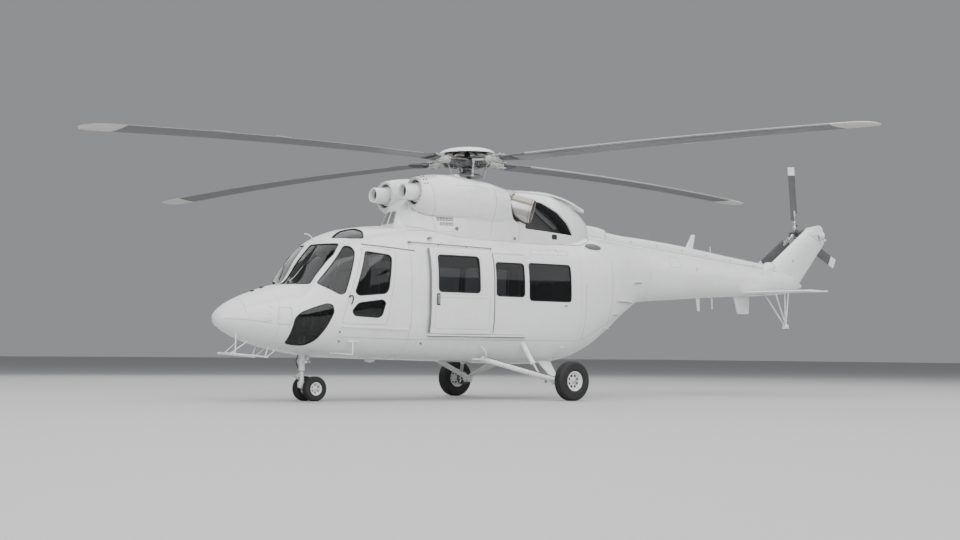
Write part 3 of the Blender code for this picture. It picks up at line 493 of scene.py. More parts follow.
def node(tree, kind, links=(), **values):
    """New node; links pairs an input with an output socket, values set fields of the node."""
    made = tree.nodes.new(kind)
    for field, value in values.items():
        setattr(made, field, value)
    for key, source in links:
        if hasattr(source, "links"):
            tree.links.new(source, made.inputs[key])
        else:
            made.inputs[key].default_value = source
    return made


FLOAT, COLOUR = "NodeSocketFloat", "NodeSocketColor"


def noise(tree, *settings):
    return node(tree, "ShaderNodeTexNoise", settings).outputs["Fac"]


def product(tree, a, b):
    return node(tree, "ShaderNodeMath", [(0, a), (1, b)], operation="MULTIPLY").outputs[0]


def ranged(tree, value, *limits):
    return node(tree, "ShaderNodeMapRange", [("Value", value), *limits]).outputs["Result"]


def mixed(tree, mask, low, high):
    return node(tree, "ShaderNodeMix", [(0, mask), (6, low), (7, high)], data_type="RGBA").outputs[2]


def send(tree, out, **sources):
    for label, source in sources.items():
        tree.links.new(source, out.inputs[label])
    return tree


def make_patches():
    """Patchy dirt: colour, roughness and a fine height, from noise in the piece's own coordinates."""
    tree, given, out = node_group(
        "patches",
        (
            ("Clean", COLOUR, (0.8, 0.8, 0.8, 1)), ("Soiled", COLOUR, (0.6, 0.6, 0.58, 1)),
            ("Scale", FLOAT, 1.2), ("Cover", FLOAT, 0.5), ("Smooth", FLOAT, 0.2), ("Dull", FLOAT, 0.35),
            ("Grain", FLOAT, 240.0),
        ),
        (("Color", COLOUR), ("Roughness", FLOAT), ("Height", FLOAT)),
    )
    where = node(tree, "ShaderNodeTexCoord").outputs["Object"]
    broad = noise(tree, ("Vector", where), ("Scale", given["Scale"]), ("Detail", 7.0), ("Roughness", 0.62))
    fine = noise(tree, ("Vector", where), ("Scale", 9.0), ("Detail", 5.0))
    both = product(tree, broad, fine)
    mask = ranged(tree, both, ("From Min", 0.2), ("From Max", 0.42), ("To Max", given["Cover"]))
    colour = mixed(tree, mask, given["Clean"], given["Soiled"])
    rough = ranged(tree, mask, ("To Min", given["Smooth"]), ("To Max", given["Dull"]))
    grain = noise(tree, ("Vector", where), ("Scale", given["Grain"]), ("Detail", 2.0))
    return send(tree, out, Color=colour, Roughness=rough, Height=grain)


def make_brushed():
    """Metal drawn along one axis, with broad heat tint."""
    tree, given, out = node_group(
        "brushed",
        (
            ("Bright", COLOUR, (0.6, 0.6, 0.6, 1)), ("Tinted", COLOUR, (0.4, 0.34, 0.28, 1)),
            ("Smooth", FLOAT, 0.25), ("Dull", FLOAT, 0.45),
        ),
        (("Color", COLOUR), ("Roughness", FLOAT), ("Height", FLOAT)),
    )
    where = node(tree, "ShaderNodeTexCoord").outputs["Object"]
    drawn = node(tree, "ShaderNodeMapping", [("Vector", where), ("Scale", (6.0, 6.0, 160.0))]).outputs[0]
    lines = noise(tree, ("Vector", drawn), ("Scale", 2.0), ("Detail", 4.0))
    tint = noise(tree, ("Vector", where), ("Scale", 5.0), ("Detail", 3.0))
    spread = ranged(tree, tint, ("From Min", 0.35), ("From Max", 0.7))
    colour = mixed(tree, spread, given["Bright"], given["Tinted"])
    rough = ranged(tree, lines, ("To Min", given["Smooth"]), ("To Max", given["Dull"]))
    return send(tree, out, Color=colour, Roughness=rough, Height=lines)


def make_weave():
    """Crossed threads of seat cloth: colour and height."""
    tree, given, out = node_group(
        "weave",
        (
            ("Thread", COLOUR, (0.2, 0.2, 0.2, 1)), ("Shade", COLOUR, (0.1, 0.1, 0.1, 1)),
            ("Scale", FLOAT, 260.0),
        ),
        (("Color", COLOUR), ("Height", FLOAT)),
    )
    where = node(tree, "ShaderNodeTexCoord").outputs["Object"]
    settings = [("Vector", where), ("Scale", given["Scale"]), ("Distortion", 0.6)]
    waves = [node(tree, "ShaderNodeTexWave", settings, bands_direction=way) for way in ("X", "Z")]
    cross = product(tree, *(wave.outputs["Fac"] for wave in waves))
    return send(tree, out, Color=mixed(tree, cross, given["Shade"], given["Thread"]), Height=cross)


PATCHES, BRUSHED, WEAVE = make_patches(), make_brushed(), make_weave()
print("node groups", [tree.name for tree in (PATCHES, BRUSHED, WEAVE)])

# %% [markdown]
# ## The materials
# Each finish of the machine is named for what it is: two-pack white paint under a clear coat, smoked
# acrylic, seals, bare and tinted steel, satin alloy, composite blade paint, rubber and cloth. The name
# also carries the record's material slot.

# %% Materials
def finish(name, slot, metallic=0.0, group=PATCHES, bump=0.0, plain=(), **sockets):
    """Material with a shared group on its colour and roughness, and plain values on its own sockets."""
    mat = bpy.data.materials.new(name)
    mat.use_nodes = True
    tree = mat.node_tree
    shader = tree.nodes["Principled BSDF"]
    shader.inputs["Metallic"].default_value = metallic
    for key, value in plain:
        shader.inputs[key].default_value = value
    if group is not None:
        effect = tree.nodes.new("ShaderNodeGroup")
        effect.node_tree = group
        for key, value in sockets.items():
            if isinstance(value, tuple):
                value = (*value, 1.0)
            effect.inputs[key].default_value = value
        tree.links.new(effect.outputs["Color"], shader.inputs["Base Color"])
        if "Roughness" in effect.outputs:
            tree.links.new(effect.outputs["Roughness"], shader.inputs["Roughness"])
        if bump:
            relief = node(tree, "ShaderNodeBump", [("Height", effect.outputs["Height"]), ("Distance", bump)])
            relief.inputs["Strength"].default_value = 0.5
            tree.links.new(relief.outputs["Normal"], shader.inputs["Normal"])
    FINISH[name] = (mat, slot)


COAT = (("Coat Weight", 0.6), ("Coat Roughness", 0.05))
finish(
    "white", "white_paint", Clean=(0.8, 0.805, 0.81), Soiled=(0.7, 0.7, 0.69), Scale=0.8, Cover=0.55,
    Smooth=0.22, Dull=0.34, Grain=400.0, bump=0.00005, plain=COAT,
)
finish(
    "white_satin", "white_paint", Clean=(0.74, 0.745, 0.75), Soiled=(0.56, 0.56, 0.54), Scale=2.5, Cover=0.6,
    Smooth=0.35, Dull=0.5,
)
GLASS = (
    ("Base Color", (0.3, 0.31, 0.32, 1.0)), ("Roughness", 0.02), ("Transmission Weight", 1.0), ("IOR", 1.45),
    ("Specular IOR Level", 0.35),
)
finish("glass", "tinted_glass", group=None, plain=GLASS)
finish(
    "lens", "tinted_glass", group=None, plain=(("Base Color", (0.75, 0.76, 0.78, 1.0)), ("Roughness", 0.08)),
)
finish("seal", "tyre", Clean=(0.014, 0.014, 0.015), Soiled=(0.035, 0.034, 0.033), Smooth=0.45, Dull=0.65)
finish(
    "rubber", "tyre", Clean=(0.012, 0.012, 0.013), Soiled=(0.03, 0.029, 0.027), Scale=4.0, Cover=0.6,
    Smooth=0.7, Dull=0.88, Grain=500.0, bump=0.0004,
)
finish("dark", "dark_paint", Clean=(0.05, 0.05, 0.055), Soiled=(0.09, 0.088, 0.085), Smooth=0.42, Dull=0.6)
finish("grey", "dark_paint", Clean=(0.16, 0.165, 0.17), Soiled=(0.11, 0.11, 0.11), Smooth=0.4, Dull=0.55)
finish("line", "dark_paint", group=None, plain=(("Base Color", (0.1, 0.1, 0.105, 1.0)), ("Roughness", 0.6)))
finish(
    "blade", "blade_paint", Clean=(0.085, 0.088, 0.092), Soiled=(0.13, 0.13, 0.13), Scale=1.5, Cover=0.6,
    Smooth=0.38, Dull=0.52,
)
# light grey of the blade edge strips: the erosion strip on the leading edge, a painted highlight on the
# trailing edge
finish("edge", "blade_paint", Clean=(0.36, 0.36, 0.35), Soiled=(0.24, 0.24, 0.23), Smooth=0.3, Dull=0.45)
finish("tip_white", "blade_paint", Clean=(0.8, 0.8, 0.79), Soiled=(0.66, 0.66, 0.64), Smooth=0.3, Dull=0.45)
finish(
    "pale", "light_metal", Clean=(0.44, 0.44, 0.43), Soiled=(0.26, 0.255, 0.245), Scale=6.0, Smooth=0.32,
    Dull=0.5,
)
finish("tip", "blade_paint", Clean=(0.62, 0.6, 0.56), Soiled=(0.5, 0.48, 0.45), Smooth=0.35, Dull=0.5)
finish(
    "steel", "bare_steel", metallic=1.0, group=BRUSHED, bump=0.0002, Bright=(0.5, 0.49, 0.47),
    Tinted=(0.46, 0.4, 0.34), Smooth=0.22, Dull=0.42,
)
finish(
    "alloy", "light_metal", metallic=0.9, group=BRUSHED, bump=0.0001, Bright=(0.66, 0.66, 0.65),
    Tinted=(0.52, 0.52, 0.51), Smooth=0.28, Dull=0.45,
)
finish(
    "iron", "light_metal", metallic=0.6, Clean=(0.13, 0.13, 0.135), Soiled=(0.07, 0.066, 0.06), Scale=5.0,
    Smooth=0.35, Dull=0.6,
)
finish(
    "cloth", "cabin_trim", group=WEAVE, bump=0.0006, Thread=(0.2, 0.2, 0.21), Shade=(0.1, 0.1, 0.105),
    plain=(("Roughness", 0.9),),
)
finish("trim", "cabin_trim", Clean=(0.34, 0.34, 0.335), Soiled=(0.24, 0.24, 0.235), Smooth=0.55, Dull=0.75)
print("finishes", sorted(FINISH))

# %% [markdown]
# ## Skin of the hull
# The real skin is riveted sheet and composite, split into nose cone, cockpit, cabin, rear fuselage and
# boom. A solid hull would be simpler, but the cabin is seen through its windows, so cockpit and cabin are
# shells with real wall thickness, and their holes are the outlines of the doors and panes.

# %% Outlines
QUARTER = ((-2.78, 2.37), (-2.68, 2.36), (-2.65, 2.27), (-2.89, 1.63), (-2.97, 1.6), (-3.31, 1.77))
CHIN = (
    (-3.7, 0.87), (-3.69, 1.05), (-3.66, 1.25), (-3.57, 1.34), (-3.37, 1.42), (-3.18, 1.48),
    (-3.09, 1.46), (-3.06, 1.35), (-3.17, 1.12), (-3.29, 0.92), (-3.4, 0.84), (-3.54, 0.84),
)
CREW_DOOR = ((-2.95, 1.17), (-2.85, 1.55), (-2.52, 2.36), (-1.97, 2.32), (-2.16, 1.17))
CREW_HIGH = (
    (-2.74, 1.65), (-2.67, 1.595), (-2.2, 1.64), (-2.14, 1.71), (-2.06, 2.2), (-2.1, 2.25), (-2.5, 2.295),
)
CREW_LOW = (
    (-2.79, 1.37), (-2.74, 1.29), (-2.32, 1.27), (-2.25, 1.31), (-2.19, 1.51), (-2.25, 1.56), (-2.68, 1.5),
)
DOOR_WINDOW = rectangle(-1.245, -0.425, 1.7, 2.29)
CABIN_WINDOWS = (rectangle(-0.07, 0.525, 1.665, 2.225), rectangle(0.615, 1.545, 1.61, 2.24))
WINDSHIELD = ((0.028, 1.768), (0.082, 2.392), (0.525, 2.405), (0.612, 2.22), (0.612, 1.757))
ROOF_WINDOW = ((-2.86, 0.335), (-2.61, 0.185), (-2.37, 0.205), (-2.345, 0.45), (-2.43, 0.62), (-2.63, 0.54))
DOORWAY = rectangle(-1.33, -0.2, 1.1, 2.34)
FRONT, BACK = -3.86, -1.72
SKIN = 0.04

# name, corner radius, corner points, way onto the hull
COCKPIT_HOLES = (
    ("quarter", 0.05, QUARTER, on_side), ("chin", 0.045, CHIN, on_side),
    ("crew_door", 0.07, CREW_DOOR, on_side), ("windshield", 0.04, WINDSHIELD, on_front),
    ("roof", 0.06, ROOF_WINDOW, on_roof),
)
STEP = (0.045, TURN / 112)


def hull_box(start, end):
    """Flat layout of the whole girth between two stations, with points along its edges."""
    low, high = -pi / 2, 1.5 * pi
    along = max(1, round((end - start) / STEP[0]))
    girth = round((high - low) / STEP[1])
    xs = [start + (end - start) * k / along for k in range(along)]
    ts = [low + (high - low) * k / girth for k in range(girth)]
    edge = [(x, low) for x in xs] + [(end, t) for t in ts]
    return edge + [(x, high) for x in (xs[1:] + [end])[::-1]] + [(start, t) for t in (ts[1:] + [high])[::-1]]


def hull_rings(start, end, step, out=0.0, sides=112):
    many = max(1, round((end - start) / step))
    turns = [TURN * k / sides for k in range(sides)]
    return [[on_hull(start + (end - start) * r / many, t, out) for t in turns] for r in range(many + 1)]


# %% Cockpit and cabin shells
CABIN_HOLES = (
    ("doorway", 0.05, DOORWAY, on_side), *(("window", 0.07, corners, on_side) for corners in CABIN_WINDOWS),
)


def room(name, finish, table, ends, offsets, step, rim=0.0, replaces=()):
    """Shell of one room between two stations, with a hole for each of its doors and panes."""
    holes = [
        way(grown(rounded(corners, radius), rim), side)
        for side in (-1, 1) for _, radius, corners, way in table
    ]
    shell = plate(Piece(), hull_box(*ends), holes, on_hull, *offsets, step, wrap=True)
    shell.make(name, finish, replaces=replaces)


WALL_DEPTHS = (0.0, -SKIN)
room(
    "cockpit_skin", "white", COCKPIT_HOLES, (FRONT, BACK - 0.002), WALL_DEPTHS, STEP, 0.0, ["cockpit_shell"],
)
room("cabin_skin", "white", CABIN_HOLES, (BACK + 0.002, 1.78), WALL_DEPTHS, STEP, 0.0, ["cabin_shell"])

# %% Nose, rear fuselage and boom
Piece().loft(hull_rings(-4.655, FRONT - 0.003, 0.02)).make("nose_skin", "white", replaces=["nose_cone"])
Piece().loft(hull_rings(1.784, 3.798, 0.05)).make("rear_skin", "white", replaces=["aft_fuselage"])
Piece().loft(hull_rings(3.802, 8.32, 0.08)).make("boom_skin", "white", replaces=["tail_boom"])

# %% [markdown]
# ## Panes and their seals
# Each window is a moulded acrylic pane held in a black rubber channel. Flat sheets would miss the curve
# that bends every reflection, so the panes are cut from the same surface as the skin, a little below it,
# and the channel is a soft strip that follows each outline. Grey linings just inside the shells keep the
# white paint of the skin from showing on the far side of the rooms.

# %% Panes and seals
SIDES = ((-1, "left"), (1, "right"))
PANE_DEEP, PANE_THICK = 0.012, 0.005


def pane(glass, seal, way, corners, radius, side):
    outline = rounded(corners, radius)
    low = -PANE_DEEP - PANE_THICK
    plate(glass, way(grown(outline, -0.0006), side), [], on_hull, -PANE_DEEP, low, STEP)
    ribbon(seal, way(grown(outline, -0.007), side), on_hull, 0.015, 0.002, -PANE_DEEP - 0.003)


panes, seals = Piece(), Piece()
for side, word in SIDES:
    for name, radius, corners, way in COCKPIT_HOLES:
        if name in ("quarter", "windshield", "roof"):
            pane(panes, seals, way, corners, radius, side)
    chin, windows = Piece(), Piece()
    pane(chin, seals, on_side, CHIN, 0.06, side)
    chin.make(f"chin_pane_{word}", "glass", replaces=[f"chin_window_{word}"])
    for corners in CABIN_WINDOWS:
        pane(windows, seals, on_side, corners, 0.07, side)
    windows.make(f"cabin_panes_{word}", "glass", replaces=[f"cabin_windows_{word}"])
panes.make("cockpit_panes", "glass", replaces=["cockpit_glazing"])
seals.make("window_seals", "seal")
print("panes", 2 * (3 + 1 + len(CABIN_WINDOWS)))

# %% Linings
LINING_STEP = (0.09, TURN / 56)
LINING_DEPTHS = (-0.044, -0.048)
LINING_RIM = 0.01
room("cockpit_lining", "grey", COCKPIT_HOLES, (-3.55, BACK - 0.03), LINING_DEPTHS, LINING_STEP, LINING_RIM)
room("cabin_lining", "grey", CABIN_HOLES, (BACK + 0.03, 1.75), LINING_DEPTHS, LINING_STEP, LINING_RIM)
print("lining depths", LINING_DEPTHS)

# %% [markdown]
# ## Crew doors
# The crew door is a thin shell flush with the cockpit, with an upper and a lower pane. On the real one it
# moves out on its hinge and then aft along two rails, two motions in turn, so it stays shut here. Its gap
# is modelled as a true gap with the rubber behind it, which reads better than a painted line.

# %% Crew doors
crew_seals = Piece()
for side, word in SIDES:
    outline = rounded(CREW_DOOR, 0.07)
    holes = [on_side(rounded(corners, 0.05), side) for corners in (CREW_HIGH, CREW_LOW)]
    door = plate(Piece(), on_side(grown(outline, -0.006), side), holes, on_hull, 0.001, -0.03, STEP)
    door.make(f"crew_door_skin_{word}", "white", replaces=[f"crew_door_{word}"])
    glass = Piece()
    for corners in (CREW_HIGH, CREW_LOW):
        pane(glass, crew_seals, on_side, corners, 0.05, side)
    glass.make(f"crew_door_panes_{word}", "glass")
    ribbon(crew_seals, on_side(outline, side), on_hull, 0.02, -0.014, -0.03)

    handle = Piece()
    grip = [
        (-2.83, 1.588), (-2.812, 1.6), (-2.788, 1.6), (-2.77, 1.582), (-2.768, 1.548), (-2.782, 1.508),
        (-2.798, 1.468),
    ]
    seam(handle, grip, side, 0.017, 0.016, 0.02, -0.002)
    here, out = facing(on_hull, -2.826, side_turn(-2.826, 1.582, side))
    handle.stub(-0.004, 0.014, (0.018, 0.015), here, out, 16)
    handle.make(f"crew_door_handle_{word}", "dark")

    rails = Piece()
    seam(rails, [(-2.52, 2.392), (-1.62, 2.328)], side, 0.016, 0.01, 0.04)
    rails.make(f"crew_rail_high_{word}", "grey", bevel=0.002)
    rails = Piece()
    seam(rails, [(-2.93, 1.135), (-1.76, 1.105)], side, 0.03, 0.016, 0.04)
    rails.make(f"crew_rail_low_{word}", "white", bevel=0.003)
crew_seals.make("crew_door_seals", "seal")
print("crew door", round(max(p[0] for p in CREW_DOOR) - min(p[0] for p in CREW_DOOR), 2), "m wide")

# %% [markdown]
# ## Cabin doors
# The cabin door is a plug of sheet that hangs outside the hull and slides aft on a roof and a sill rail.
# It follows the hull's section at one station and is straight along the machine, because only such a
# shape can slide. A grey roll closes its front edge.

# %% Cabin doors and rails
DOOR = rectangle(-1.38, -0.15, 1.05, 2.4)
DOOR_OUT, DOOR_THICK = 0.046, 0.03


def door_surface(side, stand_off=DOOR_OUT):
    roof, keel, half, middle, up, down = section(0.8)

    def place(x, z, out):
        reach, power = (roof - middle, up) if z >= middle else (middle - keel, down)
        gone = min(abs(z - middle) / (reach + stand_off + out), 1.0) ** power
        return Vector((x, side * (half + stand_off + out) * (1 - gone) ** (1 / power), z))

    return place


for side, word in SIDES:
    body = f"cabin_door_{word}"
    place = door_surface(side)
    window = rounded(DOOR_WINDOW, 0.07)
    door = plate(Piece(), rounded(DOOR, 0.05), [window], place, 0.0, -DOOR_THICK, (0.045, 0.045))
    door.make(f"door_skin_{word}", "white", body, [body], bevel=0.004)
    glass = plate(Piece(), grown(window, -0.0006), [], place, -0.014, -0.02, (0.045, 0.045))
    glass.make(f"door_pane_{word}", "glass", body, [f"cabin_door_glass_{word}"])
    trim = ribbon(Piece(), grown(window, -0.007), place, 0.018, 0.003, -0.017)
    trim.make(f"door_rubber_{word}", "seal", body)

    # the roll is grey: painted shade along the door's rolled front edge
    roll = Piece().tube([place(-1.388, z, -0.01) for z in np.linspace(1.07, 2.38, 26)], 0.018, 12)
    roll.make(f"door_roll_{word}", "grey", body)
    frame_line = Piece()
    ribbon(frame_line, grown(window, 0.03), place, 0.003, 0.0006, -0.001)
    panel = rounded(rectangle(-1.3, -0.23, 1.13, 1.62), 0.05)
    ribbon(frame_line, panel, place, 0.003, 0.0006, -0.001)
    frame_line.make(f"door_seams_{word}", "line", body)
    heads = [(x, z) for x in (-1.345, -0.175) for z in np.linspace(1.12, 2.32, 17)]
    heads += [(x, 2.365) for x in np.linspace(-1.28, -0.24, 14)]
    studs(Piece(), heads, place, 0.005, 0.001).make(f"door_rivets_{word}", "white_satin", body)

    handle = Piece()
    # the handle recess is a dark plate on the door: painted shade for the hollow
    recess = rounded(rectangle(-1.282, -1.214, 1.49, 1.68), 0.015)
    plate(handle, recess, [], place, 0.0015, -0.002, (0.03, 0.03))
    handle.make(f"door_recess_shade_{word}", "dark", body)
    lever = Piece().tube([place(-1.25, z, 0.01) for z in (1.655, 1.6, 1.55, 1.515)], 0.007, 8)
    lever.tube([place(-1.25, 1.645, -0.004), place(-1.25, 1.645, 0.012)], 0.012, 12)
    lever.make(f"door_lever_{word}", "alloy", body)

    rails = Piece()
    inner = door_surface(side, DOOR_OUT - DOOR_THICK - 0.006)
    for low, high in ((2.355, 2.375), (1.06, 1.08)):
        reach = side * min(abs(inner(0, low, 0).y), abs(inner(0, high, 0).y))
        ys = sorted((reach, reach - side * 0.045))
        rails.block((-1.34, ys[0], low), (0.56, ys[1], high))
    wide = door_surface(1)(0.0, 1.05, 0.0).y + 0.004
    sill = [sorted((on_hull(x, side_turn(x, 1.03, 1)).y - 0.01, wide)) for x in (-1.39, 0.58)]
    rails.loft([
        [(x, side * y, z) for y, z in ((a, 1.016), (b, 1.016), (b, 1.04), (a, 1.044))]
        for x, (a, b) in zip((-1.39, 0.58), sill)
    ])
    rails.make(f"door_rails_{word}", "white_satin", bevel=0.003)
    # painted shade: grey strips on the hull just aft of the door's rear edge and just below the sill rail,
    # where door and rail stand off the hull
    groove = Piece()
    seam(groove, [(-0.102, 1.06), (-0.102, 2.36)], side, 0.018, 0.002, 0.04)
    seam(groove, [(-1.36, 1.01), (0.57, 1.01)], side, 0.01, 0.003, 0.04)
    groove.make(f"door_edge_shade_{word}", "grey")

# %% [markdown]
# ## Seats and cabin
# Through the glass the seats are the first thing seen: two crew seats and two benches with sewn foam
# cushions over a plain frame. A cushion is a closed form that is fullest in the middle and pulled in
# between its corners, with a corded seam, so each is shaped by a formula from its own size.

# %% Cushions
def cushion(name, low, high, lean=0.0, crown=0.18):
    """Foam pad between two corners, leaning about its lower edge across the machine."""
    low, high = Vector(low), Vector(high)
    centre, half = (low + high) / 2, (high - low) / 2
    flat = min(range(3), key=lambda i: half[i])
    a, b = [i for i in range(3) if i != flat]
    lean = Matrix.Rotation(lean, 3, "Y")

    def shaped(p):
        size = sum(abs(c) ** 6 for c in p) ** (1 / 6)
        p = [c / size for c in p]
        pulled = list(p)
        pulled[a] *= 1 - 0.05 * (1 - p[b] ** 2)
        pulled[b] *= 1 - 0.05 * (1 - p[a] ** 2)
        pulled[flat] *= 0.82 + crown * (1 - p[a] ** 2) * (1 - p[b] ** 2)
        return centre + lean @ Vector([pulled[i] * half[i] for i in range(3)])

    pad = Piece()
    many = 10
    steps = [2 * k / many - 1 for k in range(many + 1)]
    for axis in range(3):
        u, v = [i for i in range(3) if i != axis]
        for sign in (-1, 1):
            points = []
            for s in steps:
                for t in steps:
                    p = [0, 0, 0]
                    p[axis], p[u], p[v] = sign, s, t
                    points.append(shaped(p))
            across = many + 1
            faces = []
            for i in range(many):
                for j in range(many):
                    k = i * across + j
                    faces.append((k, k + 1, k + across + 1, k + across))
            pad.add(points, faces)
    made = pad.make(name, "cloth", smooth=60)
    rim = []
    for start, end in (((-1, -1), (1, -1)), ((1, -1), (1, 1)), ((1, 1), (-1, 1)), ((-1, 1), (-1, -1))):
        for k in range(8):
            p = [0, 0, 0]
            p[a], p[b] = (start[i] + (end[i] - start[i]) * k / 8 for i in range(2))
            rim.append(shaped(p))
    cord = Piece()
    turns = [TURN * i / 6 for i in range(6)]
    rings = []
    for k, here in enumerate(rim):
        along = (rim[(k + 1) % len(rim)] - rim[k - 1]).normalized()
        thick = Vector([1.0 if i == flat else 0.0 for i in range(3)])
        out = along.cross(thick).normalized()
        rings.append([here + 0.006 * (cos(t) * out + sin(t) * thick) for t in turns])
    cord.loft(rings, joined=True).make(name + "_cord", "trim")
    return made


# %% Seats
DECK_Z = 1.07
for side, word in SIDES:
    y = side * 0.42
    base = Piece().slab(
        ((-2.55, DECK_Z + 0.004), (-2.14, DECK_Z + 0.004), (-2.16, 1.36), (-2.53, 1.34)), y - 0.17, y + 0.17,
    )
    shell_line = ((-2.16, 1.3), (-2.1, 1.3), (-2.0, 2.04), (-2.06, 2.06))
    base.slab(shell_line, y - 0.22, y + 0.22)
    base.make(f"crew_seat_frame_{word}", "grey", replaces=[f"crew_seat_{word}"], bevel=0.006)
    cushion(f"crew_cushion_{word}", (-2.63, y - 0.22, 1.37), (-2.2, y + 0.22, 1.49))
    cushion(f"crew_back_{word}", (-2.185, y - 0.2, 1.5), (-2.095, y + 0.2, 2.04), lean=0.12)

for name, node, foot, seat, back in (
    ("front", "cabin_seats_front", (-1.64, -1.26), (-1.56, -1.19), (-1.695, -1.6)),
    ("rear", "cabin_seats_rear", (1.34, 1.72), (1.17, 1.59), (1.635, 1.735)),
):
    base = Piece().block((foot[0], -0.64, DECK_Z + 0.004), (foot[1], 0.64, 1.37))
    base.make(f"bench_{name}", "grey", replaces=[node], bevel=0.008)
    for k in range(3):
        y = (k - 1) * 0.43
        cushion(f"bench_cushion_{name}_{k + 1}", (seat[0], y - 0.21, 1.375), (seat[1], y + 0.21, 1.49))
        cushion(f"bench_back_{name}_{k + 1}", (back[0], y - 0.21, 1.5), (back[1], y + 0.21, 1.97))
print("cushions", 4 + 12)

# %% Instruments and controls
panel = Piece().slab(
    ((-3.23, DECK_Z + 0.004), (-3.0, DECK_Z + 0.004), (-3.0, 1.44), (-3.04, 1.72), (-3.22, 1.69)), -0.31,
    0.31,
)
panel.slab(((-3.24, 1.735), (-2.99, 1.755), (-3.0, 1.775), (-3.13, 1.78), (-3.24, 1.76)), -0.33, 0.33)
panel.make("instrument_panel_body", "dark", replaces=["instrument_panel"], bevel=0.008)
bezels, faces = Piece(), Piece()
slope = Vector((-0.04, 0, 0.28)).normalized()
out = Vector((slope.z, 0, -slope.x))
for row in range(2):
    for k in range(6):
        centre = Vector((-3.0, -0.25 + 0.1 * k, 1.44)) + slope * (0.075 + 0.115 * row) + out * 0.002
        bezels.lathe([(0, 0.036), (0, 0.043), (0.008, 0.043), (0.01, 0.036)], centre, out, 20)
        faces.stub(0, 0.003, 0.037, centre, out, 20)
bezels.make("dial_bezels", "grey")
faces.make("dial_glasses", "lens")
sticks = Piece()
for side in (-1, 1):
    y = side * 0.42
    sticks.tube([(-2.86, y, 1.08), (-2.84, y, 1.3), (-2.76, y, 1.5), (-2.77, y, 1.62)], 0.013, 10, 0.011)
    sticks.ball((-2.77, y, 1.63), 0.024, (1, 1, 1.6), 8, 10)
    for d in (-0.09, 0.09):
        sticks.slab(
            ((-3.31, 1.12), (-3.29, 1.12), (-3.23, 1.27), (-3.25, 1.28)), y + d - 0.045, y + d + 0.045,
        )
        sticks.tube([(-3.28, y + d, 1.075), (-3.27, y + d, 1.19)], 0.01, 8)
sticks.make("flight_controls", "grey")
print("dials", 12)

# %% [markdown]
# ## Engine deck
# Two engine nacelles sit side by side on a humped deck, all one white moulding on the machine. Each form
# is a smooth loft of its own; they are joined and then hollowed with exact Booleans, so that the valley
# between them and the cut for the exhaust are true edges with wall behind, as in the CAD.

# %% Solid helpers
def combined(base, *steps):
    """Apply Booleans in turn: pairs of operation and the piece that is used up by it."""
    for way, other in steps:
        change = base.modifiers.new("combine", "BOOLEAN")
        change.operation, change.solver, change.object = way, "EXACT", other
        graph = bpy.context.evaluated_depsgraph_get()
        made = bpy.data.meshes.new_from_object(base.evaluated_get(graph))
        base.modifiers.clear()
        base.data = made
        bpy.data.objects.remove(other)
    return base


def bare(piece):
    """Plain mesh object of a piece, in drawing numbers."""
    mesh = bpy.data.meshes.new("solid")
    mesh.from_pydata(piece.points, [], piece.faces)
    bm = bmesh.new()
    bm.from_mesh(mesh)
    bmesh.ops.remove_doubles(bm, verts=bm.verts, dist=MERGED)
    bmesh.ops.recalc_face_normals(bm, faces=bm.faces)
    bm.to_mesh(mesh)
    bm.free()
    return placed("solid", mesh)


def taken(obj):
    """Turn a plain object back into a piece."""
    piece = Piece().add([v.co for v in obj.data.vertices], [tuple(p.vertices) for p in obj.data.polygons])
    bpy.data.objects.remove(obj)
    return piece


def surface_of(piece, along, toward):
    """Place function that drops a point onto a piece along one axis."""
    tree = BVHTree.FromPolygons(piece.points, [tuple(face) for face in piece.faces])
    way = Vector((0, 0, 0))
    way["xyz".index(along)] = toward
    a, b = [i for i in range(3) if i != "xyz".index(along)]

    def place(u, v, out):
        start = -way * 5
        start[a], start[b] = u, v
        hit, normal, _, _ = tree.ray_cast(start, way)
        if hit is None:
            hit, normal, _, _ = tree.find_nearest(start + way * 4)
        return hit + normal * out

    return place


def facet(place, u, v):
    """Point of a piece and the direction its own facet shows there."""
    here = place(u, v, 0.0)
    return here, (place(u, v, 1.0) - here).normalized()


def on_piece(piece, path, place, width, high, low=-0.003, closed=True):
    """Strip along a path dropped onto a piece."""
    return strip(piece, [facet(place, u, v) for u, v in path], width, high, low, closed)


def heads_on(piece, spots, place, radius):
    for u, v in spots:
        stud_head(piece, *facet(place, u, v), radius)
    return piece


def smooth_rings(table, many, ring):
    """Rings at even stations through a table of station and sizes."""
    xs = [row[0] for row in table]
    columns = [curve_through(xs, [row[c] for row in table]) for c in range(1, len(table[0]))]
    stations = [xs[0] + (xs[-1] - xs[0]) * k / many for k in range(many + 1)]
    return [ring(x, *[column(x) for column in columns]) for x in stations]


def oval_ring(x, top, low, half, middle, up, down, shift=0.0, sides=56):
    turns = [TURN * k / sides for k in range(sides)]
    points = [oval_point(x, t, top, low, half, middle, up, down) for t in turns]
    return [p + Vector((0, shift, 0)) for p in points]


# %% Engine cowls
NACELLE_Y = 0.42
NACELLE = (
    (-1.37, 0.235, 0.235, 0.25), (-1.2, 0.285, 0.285, 0.34), (-0.95, 0.335, 0.34, 0.42),
    (-0.6, 0.365, 0.37, 0.44), (0.0, 0.365, 0.365, 0.44), (0.3, 0.335, 0.335, 0.4),
    (0.55, 0.3, 0.3, 0.36),
)
DECK = (
    (-1.52, 0.2, 2.98), (-1.35, 0.36, 3.06), (-1.05, 0.56, 3.24), (-0.6, 0.68, 3.42), (-0.1, 0.7, 3.5),
    (0.55, 0.7, 3.44),
)
COWL_END = 0.546
WALL = 0.028
INTAKE_X = -1.4
EXHAUST_END, EXHAUST_R = Vector((0.744, -0.8, 3.086)), 0.205
EXHAUST_WAY = Vector((0.24, -0.25, -0.095)).normalized()


def engine_line(x):
    return 3.3 - 0.0865 * (x + 1.35)


